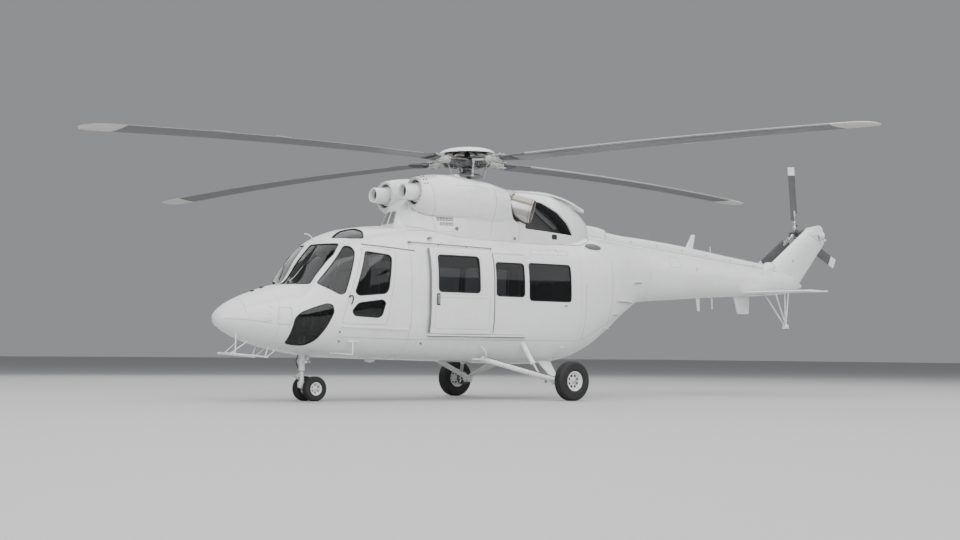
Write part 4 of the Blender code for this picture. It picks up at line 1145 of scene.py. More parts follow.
def with_ends(rings, front, back):
    """Loft of the rings with the first and last one shifted along the machine."""
    rings[0] = [p + Vector((front, 0, 0)) for p in rings[0]]
    rings[-1] = [p + Vector((back, 0, 0)) for p in rings[-1]]
    return Piece().loft(rings)


def nacelle(side, inset, ends=(0.0, 0)):
    def ring(x, half, up, down):
        middle = engine_line(x)
        low = middle - down + inset
        return oval_ring(x, middle + up - inset, low, half - inset, middle, 2.0, 2.2, side * NACELLE_Y, 48)

    return with_ends(smooth_rings(NACELLE, 26, ring), *ends)


def deck(inset, ends=(0.0, 0)):
    def ring(x, half, top):
        return oval_ring(x, top - inset, 2.45 - inset, half - inset, 2.85, 3.0, 6.0, 0.0, 64)

    return with_ends(smooth_rings(DECK, 30, ring), *ends)


def exhaust_point(side, distance):
    point = EXHAUST_END + EXHAUST_WAY * distance
    return Vector((point.x, -side * point.y, point.z))


hull_tool = Piece().loft(hull_rings(-3.0, 3.6, 0.08, 0.004))
inner = combined(
    bare(deck(WALL, (0.02, 0.05))), ("UNION", bare(nacelle(-1, WALL, (0.03, 0.05)))),
    ("UNION", bare(nacelle(1, WALL, (0.03, 0.05)))),
)
for side in (-1, 1):
    y, z = side * NACELLE_Y, engine_line(INTAKE_X) - 0.01
    hole = bare(Piece().tube([(-1.6, y, z), (-1.25, y, z)], 0.2, 48))
    inner = combined(inner, ("UNION", hole))
    hole = bare(Piece().tube([exhaust_point(side, -0.5), exhaust_point(side, 0.2)], EXHAUST_R + 0.055, 40))
    inner = combined(inner, ("UNION", hole))
cowl = combined(bare(deck(0.0)), ("UNION", bare(nacelle(-1, 0))), ("UNION", bare(nacelle(1, 0))))
cowl = combined(
    cowl, ("DIFFERENCE", inner), ("DIFFERENCE", bare(hull_tool)),
    ("DIFFERENCE", bare(Piece().tube([(0, 0, 3.2), (0, 0, 4.0)], 0.11, 32))),
    ("DIFFERENCE", bare(Piece().block((COWL_END, -1, 2.3), (0.8, 1, 3.7)))),
)
cowl = taken(cowl)
cowl.make("engine_cowls", "white", replaces=["engine_cowl_left", "engine_cowl_right"], smooth=40)
print("cowl faces", len(cowl.faces))

# %% [markdown]
# ## Intakes
# Each engine breathes through a barrel that stands out of a recess in the nacelle's nose. The barrel and
# its collar are turned parts, so a profile swept round the engine line gives their lips and steps exactly.

# %% Intakes
barrels, bores, collars = Piece(), Piece(), Piece()
for side in (-1, 1):
    y, z = side * NACELLE_Y, engine_line(INTAKE_X) - 0.01
    centre = (-1.6, y, z)
    wall = [(0.35, 0.146), (0.18, 0.134), (0.03, 0.124), (0.008, 0.12), (0.0, 0.112), (0.006, 0.102)]
    wall += [(0.03, 0.097), (0.18, 0.106), (0.35, 0.124)]
    barrels.lathe(wall, centre, (1, 0, 0), 48)
    barrels.lathe(
        [(0.27, 0.135), (0.27, 0.158), (0.29, 0.162), (0.32, 0.162), (0.32, 0.135)], centre, (1, 0, 0), 48,
    )
    # painted shade: a dark plug fills each barrel's bore and a dark disc closes the back of the recess round
    # it
    bores.stub(0.1, 0.34, (0.099, 0.122), centre, (1, 0, 0), 40)
    bores.collar(0.33, 0.345, 0.1, 0.203, centre, (1, 0, 0), 40)
    middle = Vector((-1.37, y, engine_line(-1.37) - 0.006))
    collars.lathe(
        [(-0.004, 0.201), (-0.004, 0.231), (0.006, 0.234), (0.05, 0.245), (0.05, 0.201)], middle, (1, 0, 0),
        56,
    )
barrels.make("intake_barrels", "white")
bores.make("intake_bore_shade", "dark")
collars.make("intake_collars", "white_satin")
bolts = Piece()
for side in (-1, 1):
    middle = Vector((-1.374, side * NACELLE_Y, engine_line(-1.37) - 0.006))
    for k in range(18):
        t = TURN * k / 18
        spot = middle + Vector((0, 0.216 * cos(t), 0.216 * sin(t)))
        bolts.stub(0, -0.004, (0.007, 0.006), spot, (1, 0, 0), 8)
    for k in range(3):
        t = radians(90 + 120 * k)
        ray = Vector((0, cos(t), sin(t)))
        start = Vector((-1.34, side * NACELLE_Y, engine_line(INTAKE_X) - 0.01))
        bolts.tube([start + ray * 0.135, start + ray * 0.203], 0.01, 8)
    for angle in (28, 46, 64, 82, 100):
        t = radians(angle)
        ray = Vector((0.0, side * cos(t), sin(t)))
        for step in (0.0, 0.045) if angle < 70 else (0.0,):
            foot = Vector((-1.315 + step, side * NACELLE_Y, engine_line(-1.33)))
            bolts.stub(-0.012, 0.004, 0.01, foot + ray * (0.262 + 0.35 * step), ray, 8)
bolts.make("collar_bolts", "grey")

# %% Cowl details
cowl_port = surface_of(cowl, "y", 1)
cowl_starboard = surface_of(cowl, "y", -1)
for side, word, place in ((-1, "left", cowl_port), (1, "right", cowl_starboard)):
    seams = Piece()
    for foot, top, low, high in ((-1.05, -1.225, 2.7, 3.44), (-0.04, 0.03, 2.67, 3.46)):
        on_piece(seams, line([(foot, low), (top, high)], 0.02), place, 0.004, 0.0012, closed=False)
    border = rounded(rectangle(-1.04, -0.765, 2.685, 2.925), 0.02)
    on_piece(seams, border, place, 0.0035, 0.0012)
    on_piece(
        seams, line([(-0.8, 3.42), (-0.4, 3.44), (0.3, 3.38)], 0.03), place, 0.003, 0.0012, closed=False,
    )
    on_piece(
        seams, line([(-1.28, 2.98), (-1.18, 2.93), (-1.04, 2.925)], 0.02), place, 0.006, 0.0015,
        closed=False,
    )
    seams.make(f"cowl_seams_{word}", "line")
    # the louvre slots are dark plates on the cowl: painted shade for the openings
    slots = Piece()
    for k in range(11):
        x = -1.018 + 0.0235 * k
        for z, reach in ((2.893, 0.013), (2.862, 0.012), (2.815, 0.012), (2.787, 0.01)):
            if z > 2.83 or k > 1:
                outline = rounded(rectangle(x - 0.008, x + 0.008, z - reach, z + reach), 0.004, 0.02, 2)
                plate(slots, outline, [], place, 0.0018, -0.002, (0.02, 0.02))
    slots.make(f"cowl_slot_shade_{word}", "dark")
    rivets = Piece()
    heads_on(rivets, [(-1.07 - 0.2 * (z - 2.72), z) for z in np.linspace(2.95, 3.4, 8)], place, 0.0055)
    heads_on(rivets, [(-0.01, z) for z in np.linspace(2.74, 3.4, 12)], place, 0.0055)
    heads_on(rivets, [(x, 2.655 - 0.01 * x) for x in np.linspace(-1.3, 0.5, 26)], place, 0.0055)
    rivets.make(f"cowl_rivets_{word}", "white_satin")
    latch = Piece()
    for x, z, size, sides in ((-0.7, 2.735, 0.033, 20), (0.46, 2.635, 0.034, 4)):
        here, out = facet(place, x, z)
        latch.turned(
            [(-0.004, size), (0.004, size * 0.92), (0.004, size * 0.55), (0.001, size * 0.5)], here, out,
            sides,
        )
    latch.make(f"cowl_latches_{word}", "grey")
cap = Piece().block((-0.34, -0.1, 3.42), (-0.09, 0.1, 3.69))
cap.make("cowl_cap", "white", bevel=0.012)

# %% Front fairing
ramp = Piece()
rings = []
for k in range(13):
    t = k / 12
    front = -1.66 + 0.16 * t
    half_f, half_b = 0.24 - 0.07 * t, 0.4 - 0.25 * t
    back = -1.3
    low_z, high_z = 2.6 + 0.43 * t, 2.6 + 0.6 * t
    outline = rounded(((front, -half_f), (front, half_f), (back, half_b), (back, -half_b)), 0.07, 9.0, 6)
    rings.append([(x, y, low_z + (high_z - low_z) * (x - front) / (back - front)) for x, y in outline])
ramp.loft(rings)
ramp.make("front_fairing_skin", "white", replaces=["front_fairing"], smooth=50)
ramp_front = surface_of(ramp, "x", 1)
mesh_back, rims = Piece(), Piece()
for side in (-1, 1):
    corners = [(side * y, z) for y, z in ((0.018, 2.795), (0.016, 3.0), (0.138, 3.0), (0.172, 2.795))]
    outline = rounded(corners, 0.015, 0.03, 3)
    plate(mesh_back, outline, [], ramp_front, 0.002, -0.003, (0.03, 0.03))
    on_piece(rims, outline, ramp_front, 0.01, 0.006)
    for k in range(1, 7):
        t = k / 7
        ends = [Vector(corners[a]).lerp(Vector(corners[b]), t) for a, b in ((0, 3), (1, 2))]
        on_piece(rims, line([tuple(end) for end in ends], 0.03), ramp_front, 0.003, 0.004, closed=False)
mesh_back.make("ramp_grilles", "grey")
rims.make("ramp_grille_rims", "white_satin")
print("grilles", 2)

# %% [markdown]
# ## Aft cowl and exhausts
# Behind the engines one cowl closes the deck down to the spine, with a deep bay on each side for the hot
# exhaust and a thin raised scoop along its top. The exhaust is a bare steel pipe with a row of holes at
# its lip; heat has tinted it, so it gets the brushed metal and no paint.

# %% Aft cowl
AFT_COWL = (
    (0.552, 0.71, 3.46), (0.95, 0.71, 3.51), (1.38, 0.68, 3.5), (1.8, 0.6, 3.4),
    (2.1, 0.5, 3.27), (2.3, 0.4, 3.15), (2.45, 0.28, 3.03),
)
BAY = ((0.66, 2.81), (0.8, 3.3), (1.1, 3.28), (1.42, 3.13), (1.65, 2.95), (1.8, 2.755))
rings = smooth_rings(
    AFT_COWL, 34, lambda x, half, top: oval_ring(x, top, 2.45, half, 2.8, 2.5, 6.0, 0.0, 64),
)
aft = bare(Piece().loft(rings))
for side in (-1, 1):
    bay = Piece().slab(rounded(BAY, 0.05, 0.05, 6), side * 0.34, side * 1.2)
    relief = Piece().tube([exhaust_point(side, -0.6), exhaust_point(side, 0.6)], EXHAUST_R + 0.02, 40)
    aft = combined(aft, ("DIFFERENCE", bare(bay)), ("DIFFERENCE", bare(relief)))
aft = taken(combined(aft, ("DIFFERENCE", bare(hull_tool))))
aft.make("aft_cowl_skin", "white", replaces=["aft_cowl"], smooth=40)

SCOOP = (
    (1.05, 0.3, 3.52), (1.45, 0.27, 3.525), (1.9, 0.2, 3.48), (2.3, 0.1, 3.39), (2.56, 0.018, 3.3),
)


def scoop_ring(x, half, top):
    upper = [(x, half * cos(t), top - 0.055 + 0.055 * sin(t)) for t in np.linspace(0, pi, 17)]
    lower = [(x, y * 0.985, z - 0.014) for _, y, z in upper[::-1]]
    return upper + lower


Piece().loft(smooth_rings(SCOOP, 24, scoop_ring)).make("dorsal_scoop", "white", smooth=50)
stem = Piece().slab(
    ((1.02, 3.38), (2.1, 3.15), (2.2, 3.2), (2.16, 3.385), (1.9, 3.44), (1.1, 3.49)), -0.08, 0.08,
)
stem.make("scoop_stem", "white_satin", bevel=0.006)

bays = Piece()
for side in (-1, 1):
    outline = grown(rounded(BAY, 0.05, 0.05, 6), -0.004)
    bays.slab(outline, side * 0.345, side * 0.352)
    wall_at = surface_of(aft, "y", -side)
    rings = []
    for (x, z), (u, v) in zip(outline, grown(outline, 0.02)):
        deep = side * max(0.36, min(abs(wall_at(u, v, 0.0).y), 0.7) - 0.012)
        rings.append([(x, side * 0.345, z), (x, deep, z)])
    thin = grown(outline, -0.004)
    rings = [[a, b, (u, b[1], v), (u, a[1], v)] for (a, b), (u, v) in zip(rings, thin)]
    bays.loft(rings, joined=True)
bays.make("exhaust_bay_back", "dark")
bands = Piece()
for side in (-1, 1):
    bands.slab(((1.0, 3.24), (1.09, 3.26), (1.66, 2.9), (1.58, 2.85)), side * 0.36, side * 0.372)
bands.make("exhaust_bay_bands", "grey", bevel=0.004)
seams = Piece()
for place in (surface_of(aft, "y", 1), surface_of(aft, "y", -1)):
    edge = grown(rounded(BAY, 0.05, 0.05, 6), 0.012)
    spots = [(x, z) for x, z in edge if x > 0.93 and z > 2.8]
    on_piece(seams, spots, place, 0.006, 0.002, closed=False)
    on_piece(seams, line([(1.9, 2.86), (1.9, 3.3)], 0.02), place, 0.003, 0.0012, closed=False)
seams.make("aft_cowl_seams", "line")

# %% Exhausts
for side, word in SIDES:
    start = exhaust_point(side, -0.42)
    way = (exhaust_point(side, 0) - start).normalized()
    wall = [
        (0.0, 0.196), (0.34, 0.205), (0.395, 0.205), (0.42, 0.203), (0.424, 0.196), (0.418, 0.189),
        (0.0, 0.184),
    ]
    pipe = Piece().lathe(wall, start, way, 56)
    pipe.collar(0.02, 0.034, 0.198, 0.209, start, way, 56)
    pipe.collar(0.352, 0.36, 0.2, 0.2085, start, way, 56)
    pipe.make(f"exhaust_pipe_{word}", "steel", replaces=[f"exhaust_{word}"])
    bore = Piece().turned([(0.02, 0.183), (0.3, 0.1845), (0.3, 0.1835), (0.06, 0.182)], start, way, 40)
    bore.make(f"exhaust_bore_{word}", "dark")
    # the holes at the lip are dark studs: painted shade for the holes
    holes = Piece()
    across = way.orthogonal().normalized()
    over = way.cross(across)
    for k in range(32):
        t = TURN * k / 32
        ray = across * cos(t) + over * sin(t)
        spot = start + way * 0.392 + ray * 0.2045
        holes.stub(-0.001, 0.0012, 0.01, spot, ray, 8)
    holes.make(f"exhaust_hole_shade_{word}", "dark")
    sleeve = Piece().collar(-0.06, 0.05, 0.21, 0.256, start, way, 48)
    sleeve.make(f"exhaust_sleeve_{word}", "steel")
print("exhaust", round(2 * EXHAUST_R, 2), "m across")

# %% [markdown]
# ## Main rotor blades
# A blade is one long aerofoil, twisted and drooping under its own weight when parked, with a light
# erosion strip on its leading edge, a light strip on its trailing edge that is a painted highlight, and a
# pale painted tip. It could be a scaled box, but the glint along the edge comes from the real section, so
# each blade is lofted through stations of chord, thickness and twist.

# %% Main blades
MAST_TILT = radians(0.94)
SHAFT = Matrix.Translation((0, 0, HUB_Z)) @ Matrix.Rotation(-MAST_TILT, 4, "Y")
ROTOR_RADIUS, BLADE_ROOT = 7.57, 0.72
FIRST_HEADING = 10.6
BLADE_LAG, BLADE_DROOP = (0.55, -2.9, -4.8, 3.25), (0.2, 0.13, 0.27, 0.26)
BLADE_PITCH = (-5.5, 3.0, 1.0, -4.0)
BLADE_TABLE = (
    (0.72, 0.07, -0.09, 0.064, 4.5), (0.92, 0.1, -0.24, 0.062, 4.5), (1.2, 0.11, -0.33, 0.06, 4.5),
    (3.0, 0.11, -0.33, 0.055, 3.5), (5.0, 0.11, -0.33, 0.048, 1.5), (6.8, 0.11, -0.33, 0.045, 0.0),
    (7.28, 0.105, -0.33, 0.042, -0.5), (7.48, 0.05, -0.3, 0.034, -0.5), (7.57, -0.06, -0.2, 0.014, -0.5),
)
blade_columns = [
    curve_through([row[0] for row in BLADE_TABLE], [row[c] for row in BLADE_TABLE]) for c in range(1, 5)
]


def heading(k):
    return radians(FIRST_HEADING + 90 * k + BLADE_LAG[k])


def eased(many):
    """Steps from 0 to 1 that crowd towards both ends."""
    return [(1 - cos(pi * k / many)) / 2 for k in range(many + 1)]


def aerofoil(u):
    return 10 * (0.2969 * sqrt(u) - 0.126 * u - 0.3516 * u ** 2 + 0.2843 * u ** 3 - 0.1026 * u ** 4)


def blade_point(radius, u, level, droop, out=0.0, pitch=0.0):
    """Point of the section at a radius; level is 1 on the upper skin and -1 on the lower one."""
    front, back, thick, twist = (column(radius) for column in blade_columns)
    lift = aerofoil(u) * thick * (0.5 if level > 0 else -0.35)
    flat = Vector((0.0, -front - u * (back - front), lift + out * level))
    turned = Matrix.Rotation(-radians(twist + pitch), 3, "X") @ flat
    sag = -droop * ((radius - BLADE_ROOT) / (ROTOR_RADIUS - BLADE_ROOT)) ** 2
    return Vector((radius, turned.y, turned.z + sag))


def blade_skin(radii, droop, pitch, start=0.0, end=1.0, out=0.0, many=14):
    steps = [start + (end - start) * u for u in eased(many)]
    rings = []
    for radius in radii:
        upper = [blade_point(radius, u, 1, droop, out, pitch) for u in steps]
        lower = [blade_point(radius, u, -1, droop, out, pitch) for u in steps[::-1]]
        rings.append(upper + lower)
    return rings


PALE = 6.97
for k in range(4):
    turn = SHAFT @ Matrix.Rotation(heading(k) + pi, 4, "Z")
    droop, pitch = BLADE_DROOP[k], BLADE_PITCH[k]
    grey = [0.8, 0.86, 0.92, 1.0, 1.1, 1.2, 1.36, *np.linspace(1.6, PALE, 24)]
    pale = [PALE, 7.1, 7.2, 7.28, 7.34, 7.4, 7.44, 7.48, 7.51, 7.54, 7.56, 7.57]
    skin = Piece(turn).loft(blade_skin(grey, droop, pitch))
    skin.make(f"blade_skin_{k + 1}", "blade", "main_rotor", [f"main_blade_{k + 1}"], smooth=50)
    Piece(turn).loft(blade_skin(pale, droop, pitch)).make(
        f"blade_tip_{k + 1}", "tip", "main_rotor", smooth=50,
    )
    # light strips on both edges: on the leading edge the erosion strip, on the trailing edge a painted
    # highlight
    strips = Piece(turn)
    run = list(np.linspace(1.4, PALE - 0.005, 26))
    strips.loft(blade_skin(run, droop, pitch, 0.0, 0.05, 0.0012, 6))
    strips.loft(blade_skin(run, droop, pitch, 0.955, 1.0, 0.0012, 3))
    strips.make(f"blade_strips_{k + 1}", "edge", "main_rotor", smooth=50)
    tabs = Piece(turn)
    for radius in (4.2, 5.3):
        edge = blade_point(radius, 1.0, 1, droop, 0.0, pitch)
        tabs.block((radius, edge.y - 0.01, edge.z - 0.003), (radius + 0.3, edge.y + 0.035, edge.z + 0.002))
    tabs.make(f"blade_tabs_{k + 1}", "alloy", "main_rotor")
    cuff = Piece(turn)
    for step in range(6):
        radius = 0.86 + 0.035 * step
        front, back = blade_columns[0](radius) + 0.006, blade_columns[1](radius) - 0.006
        middle, half = -(front + back) / 2, (front - back) / 2
        turns = np.linspace(0, TURN, 24, False)
        oval = [(middle + half * cos(t), 0.041 * sin(t) + 0.002) for t in turns]
        cuff.loft([[(r, y, z) for y, z in oval] for r in (radius, radius + 0.02)])
    cuff.make(f"blade_cuff_{k + 1}", "blade", "main_rotor")
print(
    "rotor", round(2 * ROTOR_RADIUS, 2), "m across, tips at",
    [round(degrees(heading(k)), 1) for k in range(4)]
)

# %% [markdown]
# ## Rotor head
# The head is open machinery under a white bowl: a dark shaft, ringed hinge arms, pale grips with their
# pins, dampers, and pitch links down to the swashplate. Turned parts and bars placed round the shaft
# give the same busy silhouette, and every part turns with the rotor.

# %% Rotor head
PIN = (
    (-0.072, 0.018), (-0.056, 0.018), (-0.056, 0.012), (0.056, 0.012), (0.056, 0.019), (0.07, 0.019),
    (0.078, 0.01),
)


def blade_ways(k):
    """Directions outward along a blade, across it and up."""
    along = Vector((-cos(heading(k)), -sin(heading(k)), 0.0))
    return along, Vector((along.y, -along.x, 0.0)), UP


shaft = Piece(SHAFT)
foot = -0.615
profile = [
    (foot, 0), (foot, 0.052), (-0.46, 0.052), (-0.45, 0.068), (-0.42, 0.068), (-0.41, 0.05), (-0.16, 0.05),
]
profile += [(-0.15, 0.085), (-0.11, 0.09), (-0.09, 0.15), (-0.05, 0.175), (0.02, 0.175), (0.05, 0.13)]
profile += [(0.08, 0.06), (0.115, 0.045), (0.115, 0)]
shaft.lathe(profile, (0, 0, 0), (0, 0, 1), 40)
shaft.make("rotor_shaft", "iron", "main_rotor", ["rotor_hub"])
for k in range(4):
    along, across, up = blade_ways(k)
    arm = Piece(SHAFT)
    rings = [(0.1, 0), (0.1, 0.062)]
    for step in range(9):
        base = 0.13 + 0.042 * step
        high = 0.064 if step % 2 else 0.058
        rings += [(base, 0.046), (base + 0.006, high), (base + 0.024, high), (base + 0.03, 0.046)]
    rings += [(0.54, 0.046), (0.54, 0)]
    arm.lathe(rings, (0, 0, 0), along, 24)
    for sign in (-1, 1):
        post = along * 0.17 + across * 0.05 * sign
        arm.tube([post + up * 0.05, post - up * 0.06], 0.016, 10)
    arm.make(f"hinge_arm_{k + 1}", "grey", "main_rotor")
    grip = Piece(SHAFT)
    rings = [
        (0.47, 0), (0.47, 0.052), (0.475, 0.064), (0.502, 0.066), (0.508, 0.05), (0.53, 0.05), (0.536, 0.06),
    ]
    rings += [
        (0.556, 0.06), (0.562, 0.048), (0.61, 0.047), (0.62, 0.06), (0.69, 0.058), (0.7, 0.044),
        (0.8, 0.042), (0.8, 0),
    ]
    grip.lathe(rings, (0, 0, 0), along, 32)
    for level in (-0.052, 0.038):
        corners = [
            along * a + across * b for a, b in ((0.6, -0.06), (0.84, -0.07), (0.84, 0.07), (0.6, 0.06))
        ]
        grip.loft([[p + up * level for p in corners], [p + up * (level + 0.016) for p in corners]])
    grip.make(f"blade_grip_{k + 1}", "pale", "main_rotor", bevel=0.003)
    pins = Piece(SHAFT)
    for a, b in ((0.65, -0.038), (0.65, 0.038), (0.79, -0.042), (0.79, 0.042)):
        spot = along * a + across * b
        pins.turned(PIN, spot, up, 12)
    pins.tube([along * 0.46, along * 0.42 + across * 0.08, along * 0.3 + across * 0.16], 0.018, 12)
    pins.ball(along * 0.3 + across * 0.16, 0.024, rings=6, sides=12)
    pins.make(f"grip_pins_{k + 1}", "pale", "main_rotor")
    damper = Piece(SHAFT)
    start, end = along * 0.15 - across * 0.13 + up * 0.03, along * 0.5 - across * 0.075 + up * 0.02
    damper.tube([start, start.lerp(end, 0.55)], 0.026, 16)
    damper.tube([start.lerp(end, 0.5), end], 0.013, 10)
    damper.ball(start, 0.022, rings=6, sides=10)
    damper.ball(end, 0.02, rings=6, sides=10)
    damper.make(f"damper_{k + 1}", "steel", "main_rotor")
    fittings = Piece(SHAFT)
    for a, b, long in ((0.24, 0.105, 0.12), (0.2, -0.09, 0.1)):
        fittings.tube(
            [along * a + across * b + up * 0.055, along * (a + long) + across * b * 0.8 + up * 0.06], 0.021,
            14,
        )
    for a in (0.145, 0.425):
        fittings.collar(a, a + 0.016, 0.045, 0.071, (0, 0, 0), along, 28)
        for t in np.linspace(0, TURN, 10, False):
            ray = across * cos(t) + up * sin(t)
            fittings.stub(0.0, 0.01, (0.008, 0.007), along * a + ray * 0.062, -along, 6)
    hose = [
        (0.1, 0.1, 0.03), (0.18, 0.145, 0.055), (0.3, 0.15, 0.03), (0.4, 0.115, 0.045), (0.5, 0.065, 0.055),
    ]
    fittings.tube([along * a + across * b + up * c for a, b, c in hose], 0.0065, 8)
    low_hose = [(0.09, -0.05, -0.07), (0.18, -0.085, -0.105), (0.3, -0.095, -0.085), (0.42, -0.06, -0.055)]
    fittings.tube([along * a + across * b + up * c for a, b, c in low_hose], 0.006, 8)
    for a, b in ((0.2, 0.035), (0.2, -0.035), (0.3, 0.035), (0.3, -0.035)):
        fittings.lathe(
            [(-0.085, 0), (-0.085, 0.013), (0.08, 0.013), (0.086, 0)], along * a + across * b, up, 6,
        )
    fittings.make(f"head_fittings_{k + 1}", "grey", "main_rotor")
print("head arms", 4)

# %% Dome
crown = [(0.128, 0.462), (0.136, 0.46), (0.15, 0.452), (0.168, 0.432), (0.19, 0.385), (0.206, 0.33)]
crown += [(0.219, 0.255), (0.229, 0.16), (0.234, 0.07), (0.235, 0)]
under = [(0.222, 0), (0.22, 0.1), (0.212, 0.22), (0.198, 0.32), (0.176, 0.4), (0.148, 0.44), (0.13, 0.448)]
dome = Piece(SHAFT).lathe([crown[-1], *crown[::-1][1:], *under[::-1][:-1], under[0]], sides=64)
dome.make("dome_skin", "white", "main_rotor", ["rotor_dome"], smooth=50)
lining = Piece(SHAFT)
lining.lathe(
    [(0.221, 0), (0.218, 0.1), (0.21, 0.218), (0.196, 0.316), (0.174, 0.395), (0.168, 0.395), (0.19, 0.31),
     (0.204, 0.21), (0.212, 0)], sides=56,
)
for k in range(12):
    t = TURN * k / 12
    ray, side = Vector((cos(t), sin(t), 0)), Vector((-sin(t), cos(t), 0)) * 0.006
    spine = [
        (0.05, 0.206), (0.2, 0.202), (0.3, 0.19), (0.38, 0.17), (0.425, 0.145), (0.38, 0.15), (0.28, 0.17),
        (0.05, 0.18),
    ]
    lining.loft([[ray * r + UP * z + side * s for r, z in spine] for s in (-1, 1)])
lining.turned([(0.115, 0.05), (0.16, 0.03), (0.215, 0.03)], sides=20)
lining.make("dome_lining", "dark", "main_rotor")

# %% Swashplate and pitch links
swash = Piece(SHAFT)
swash.lathe(
    [(-0.268, 0.078), (-0.268, 0.245), (-0.262, 0.262), (-0.245, 0.268), (-0.238, 0.25), (-0.236, 0.078)],
    sides=48,
)
swash.lathe([(-0.232, 0.078), (-0.232, 0.2), (-0.212, 0.21), (-0.209, 0.19), (-0.209, 0.078)], sides=48)
swash.make("swashplate_rings", "grey", "main_rotor", ["swashplate"])
links = Piece(SHAFT)
for k in range(4):
    along, across, up = blade_ways(k)
    high = along * 0.3 + across * 0.155 - UP * 0.03
    low = (high * 0.8).xy.to_3d() - UP * 0.252
    links.stub(-0.016, 0.008, (0.032, 0.03), low, (0, 0, 1), 16)
    links.tube([low, high], 0.0125, 12)
    links.tube([low.lerp(high, 0.22), low.lerp(high, 0.5)], 0.019, 6)
    links.tube([low.lerp(high, 0.62), low.lerp(high, 0.72)], 0.017, 12)
    links.ball(low, 0.023, rings=8, sides=12)
    links.ball(high, 0.024, rings=8, sides=12)
links.make("pitch_links", "pale", "main_rotor")
scissors = Piece(SHAFT)
for k in range(2):
    t = radians(70 + 180 * k)
    ray, side = Vector((cos(t), sin(t), 0)), Vector((-sin(t), cos(t), 0))
    knee, ankle = ray * 0.235 - UP * 0.155, ray * 0.15 - UP * 0.215
    for step in (-0.03, 0.03):
        scissors.tube([ray * 0.055 + side * step - UP * 0.125, knee + side * step * 0.7], 0.011, 8)
        scissors.tube([knee + side * step * 0.5, ankle + side * step * 0.5], 0.01, 8)
    scissors.stub(-0.036, 0.036, 0.016, knee, side, 12)
scissors.collar(-0.15, -0.105, 0.045, 0.07, sides=28)
scissors.make("scissor_links", "grey", "main_rotor")
print("pitch links", 4)

# %% [markdown]
# ## Tail
# The boom carries a spine fairing over the tail drive, a swept fin with the tail gearbox at its top, a
# slim stabiliser, a ventral plate and the skid that guards the rotor. They are thin tapering solids, so
# each is lofted from a few rounded sections rather than cut from plates.

# %% Spine, fin and stabiliser
COVER = (
    (2.4503, 3.03, 0.2), (2.93, 2.965, 0.19), (2.98, 2.935, 0.13), (4.06, 2.84, 0.12), (4.79, 2.784, 0.11),
    (6.03, 2.652, 0.1), (7.2, 2.53, 0.08),
)
cover = Piece().loft(smooth_rings(
    COVER, 90, lambda x, top, half: oval_ring(x, top, 2.0, half, top - 0.1, 3.0, 6.0, 0.0, 40)
))
cover.make("spine_cover", "white", replaces=["shaft_cover"], smooth=50)
spine = Piece()
for x in (3.45, 4.1, 4.75, 5.4, 6.05, 6.7):
    arc = [(x, y) for y in np.linspace(-0.14 * 0.7, 0.14 * 0.7, 13)]
    on_piece(spine, arc, surface_of(cover, "z", -1), 0.004, 0.0015, closed=False)
spine.make("spine_seams", "line")
ridge, half_at = (curve_through([r[0] for r in COVER], [r[c] for r in COVER]) for c in (1, 2))
clips = Piece()
for x in (3.6, 4.25, 4.9, 5.55, 6.2, 6.85):
    for side in (-1, 1):
        here = surface_of(cover, "y", -side)(x, ridge(x) - 0.085, 0.0)
        clips.block((x - 0.02, here.y - 0.006, here.z - 0.012), (x + 0.02, here.y + 0.006, here.z + 0.012))
clips.make("spine_clips", "alloy", bevel=0.003)

# leading and trailing edge, each from foot to top
FIN_EDGES = ((7.27, 2.42), (8.48, 3.27)), ((8.22, 2.13), (9.05, 3.03))
CAP_EDGES = ((8.5, 3.27), (8.66, 3.315)), ((9.05, 3.03), (8.9, 3.19))


def fin_ring(edges, t, thick, blunt):
    lead, trail = (Vector(low).lerp(Vector(high), t) for low, high in edges)
    upper = [(lead.lerp(trail, u), aerofoil(u) * thick + blunt * u) for u in eased(14)]
    return [(p.x, y, p.y) for p, y in upper] + [(p.x, -y, p.y) for p, y in upper[::-1]]


fin = Piece().loft([fin_ring(FIN_EDGES, t, 0.1 - 0.025 * t, 0.006) for t in np.linspace(-0.02, 1.0, 20)])
fin.loft([fin_ring(CAP_EDGES, k / 7, 0.075 * sqrt(max(1 - (k / 7) ** 2, 0.01)), 0.004) for k in range(8)])
fin.tube([(8.62, 0, 3.205), (8.97, 0, 3.185)], 0.098, 28, 0.08)
fin.ball((8.97, 0, 3.185), 0.08, (0.6, 1, 1), 10, 24)
hub = Vector((8.82, 0.56, 3.25))
fin.tube([hub - Vector((0, 0.62, 0)), hub - Vector((0, 0.3, 0))], 0.128, 32, 0.1)
fin.make("fin_skin", "white", replaces=["fin"], smooth=40)
case = Piece()
case.turned(
    [(-0.33, 0.108), (-0.3, 0.112), (-0.29, 0.085), (-0.22, 0.08), (-0.21, 0.062), (-0.12, 0.058)], hub,
    (0, 1, 0), 28,
)
case.make("tail_gearbox", "iron")
fin_port = surface_of(fin, "y", 1)
marks = Piece()
on_piece(
    marks, [(x, 2.42 - (x - 7.4) * 0.3) for x in np.linspace(7.46, 8.16, 26)], fin_port, 0.004, 0.0015,
    closed=False
)
top = [tuple(Vector((8.44, 3.215)).lerp(Vector((8.99, 2.975)), t)) for t in np.linspace(0.06, 0.94, 18)]
on_piece(marks, top, fin_port, 0.004, 0.0015, closed=False)
marks.make("fin_seams", "line")
foot_seam = Piece()
for side in (-1, 1):
    run = [(x, roof_turn(x, side * (half_at(x) + 0.01))) for x in np.linspace(2.55, 7.15, 110)]
    ribbon(foot_seam, run, on_hull, 0.01, 0.002, closed=False)
foot_seam.make("spine_foot_seams", "line")
# the vents are dark strips on the fin: painted shade for the openings
vents = Piece()
for x, z, long, lean in ((8.8, 3.13, 0.055, 0.5), (8.86, 3.1, 0.045, 0.5), (8.0, 2.62, 0.025, -0.4)):
    run = [(x - lean * long * s, z + long * s) for s in np.linspace(-1, 1, 6)]
    on_piece(vents, run, fin_port, 0.016, 0.002, closed=False)
vents.make("fin_vent_shade", "dark")

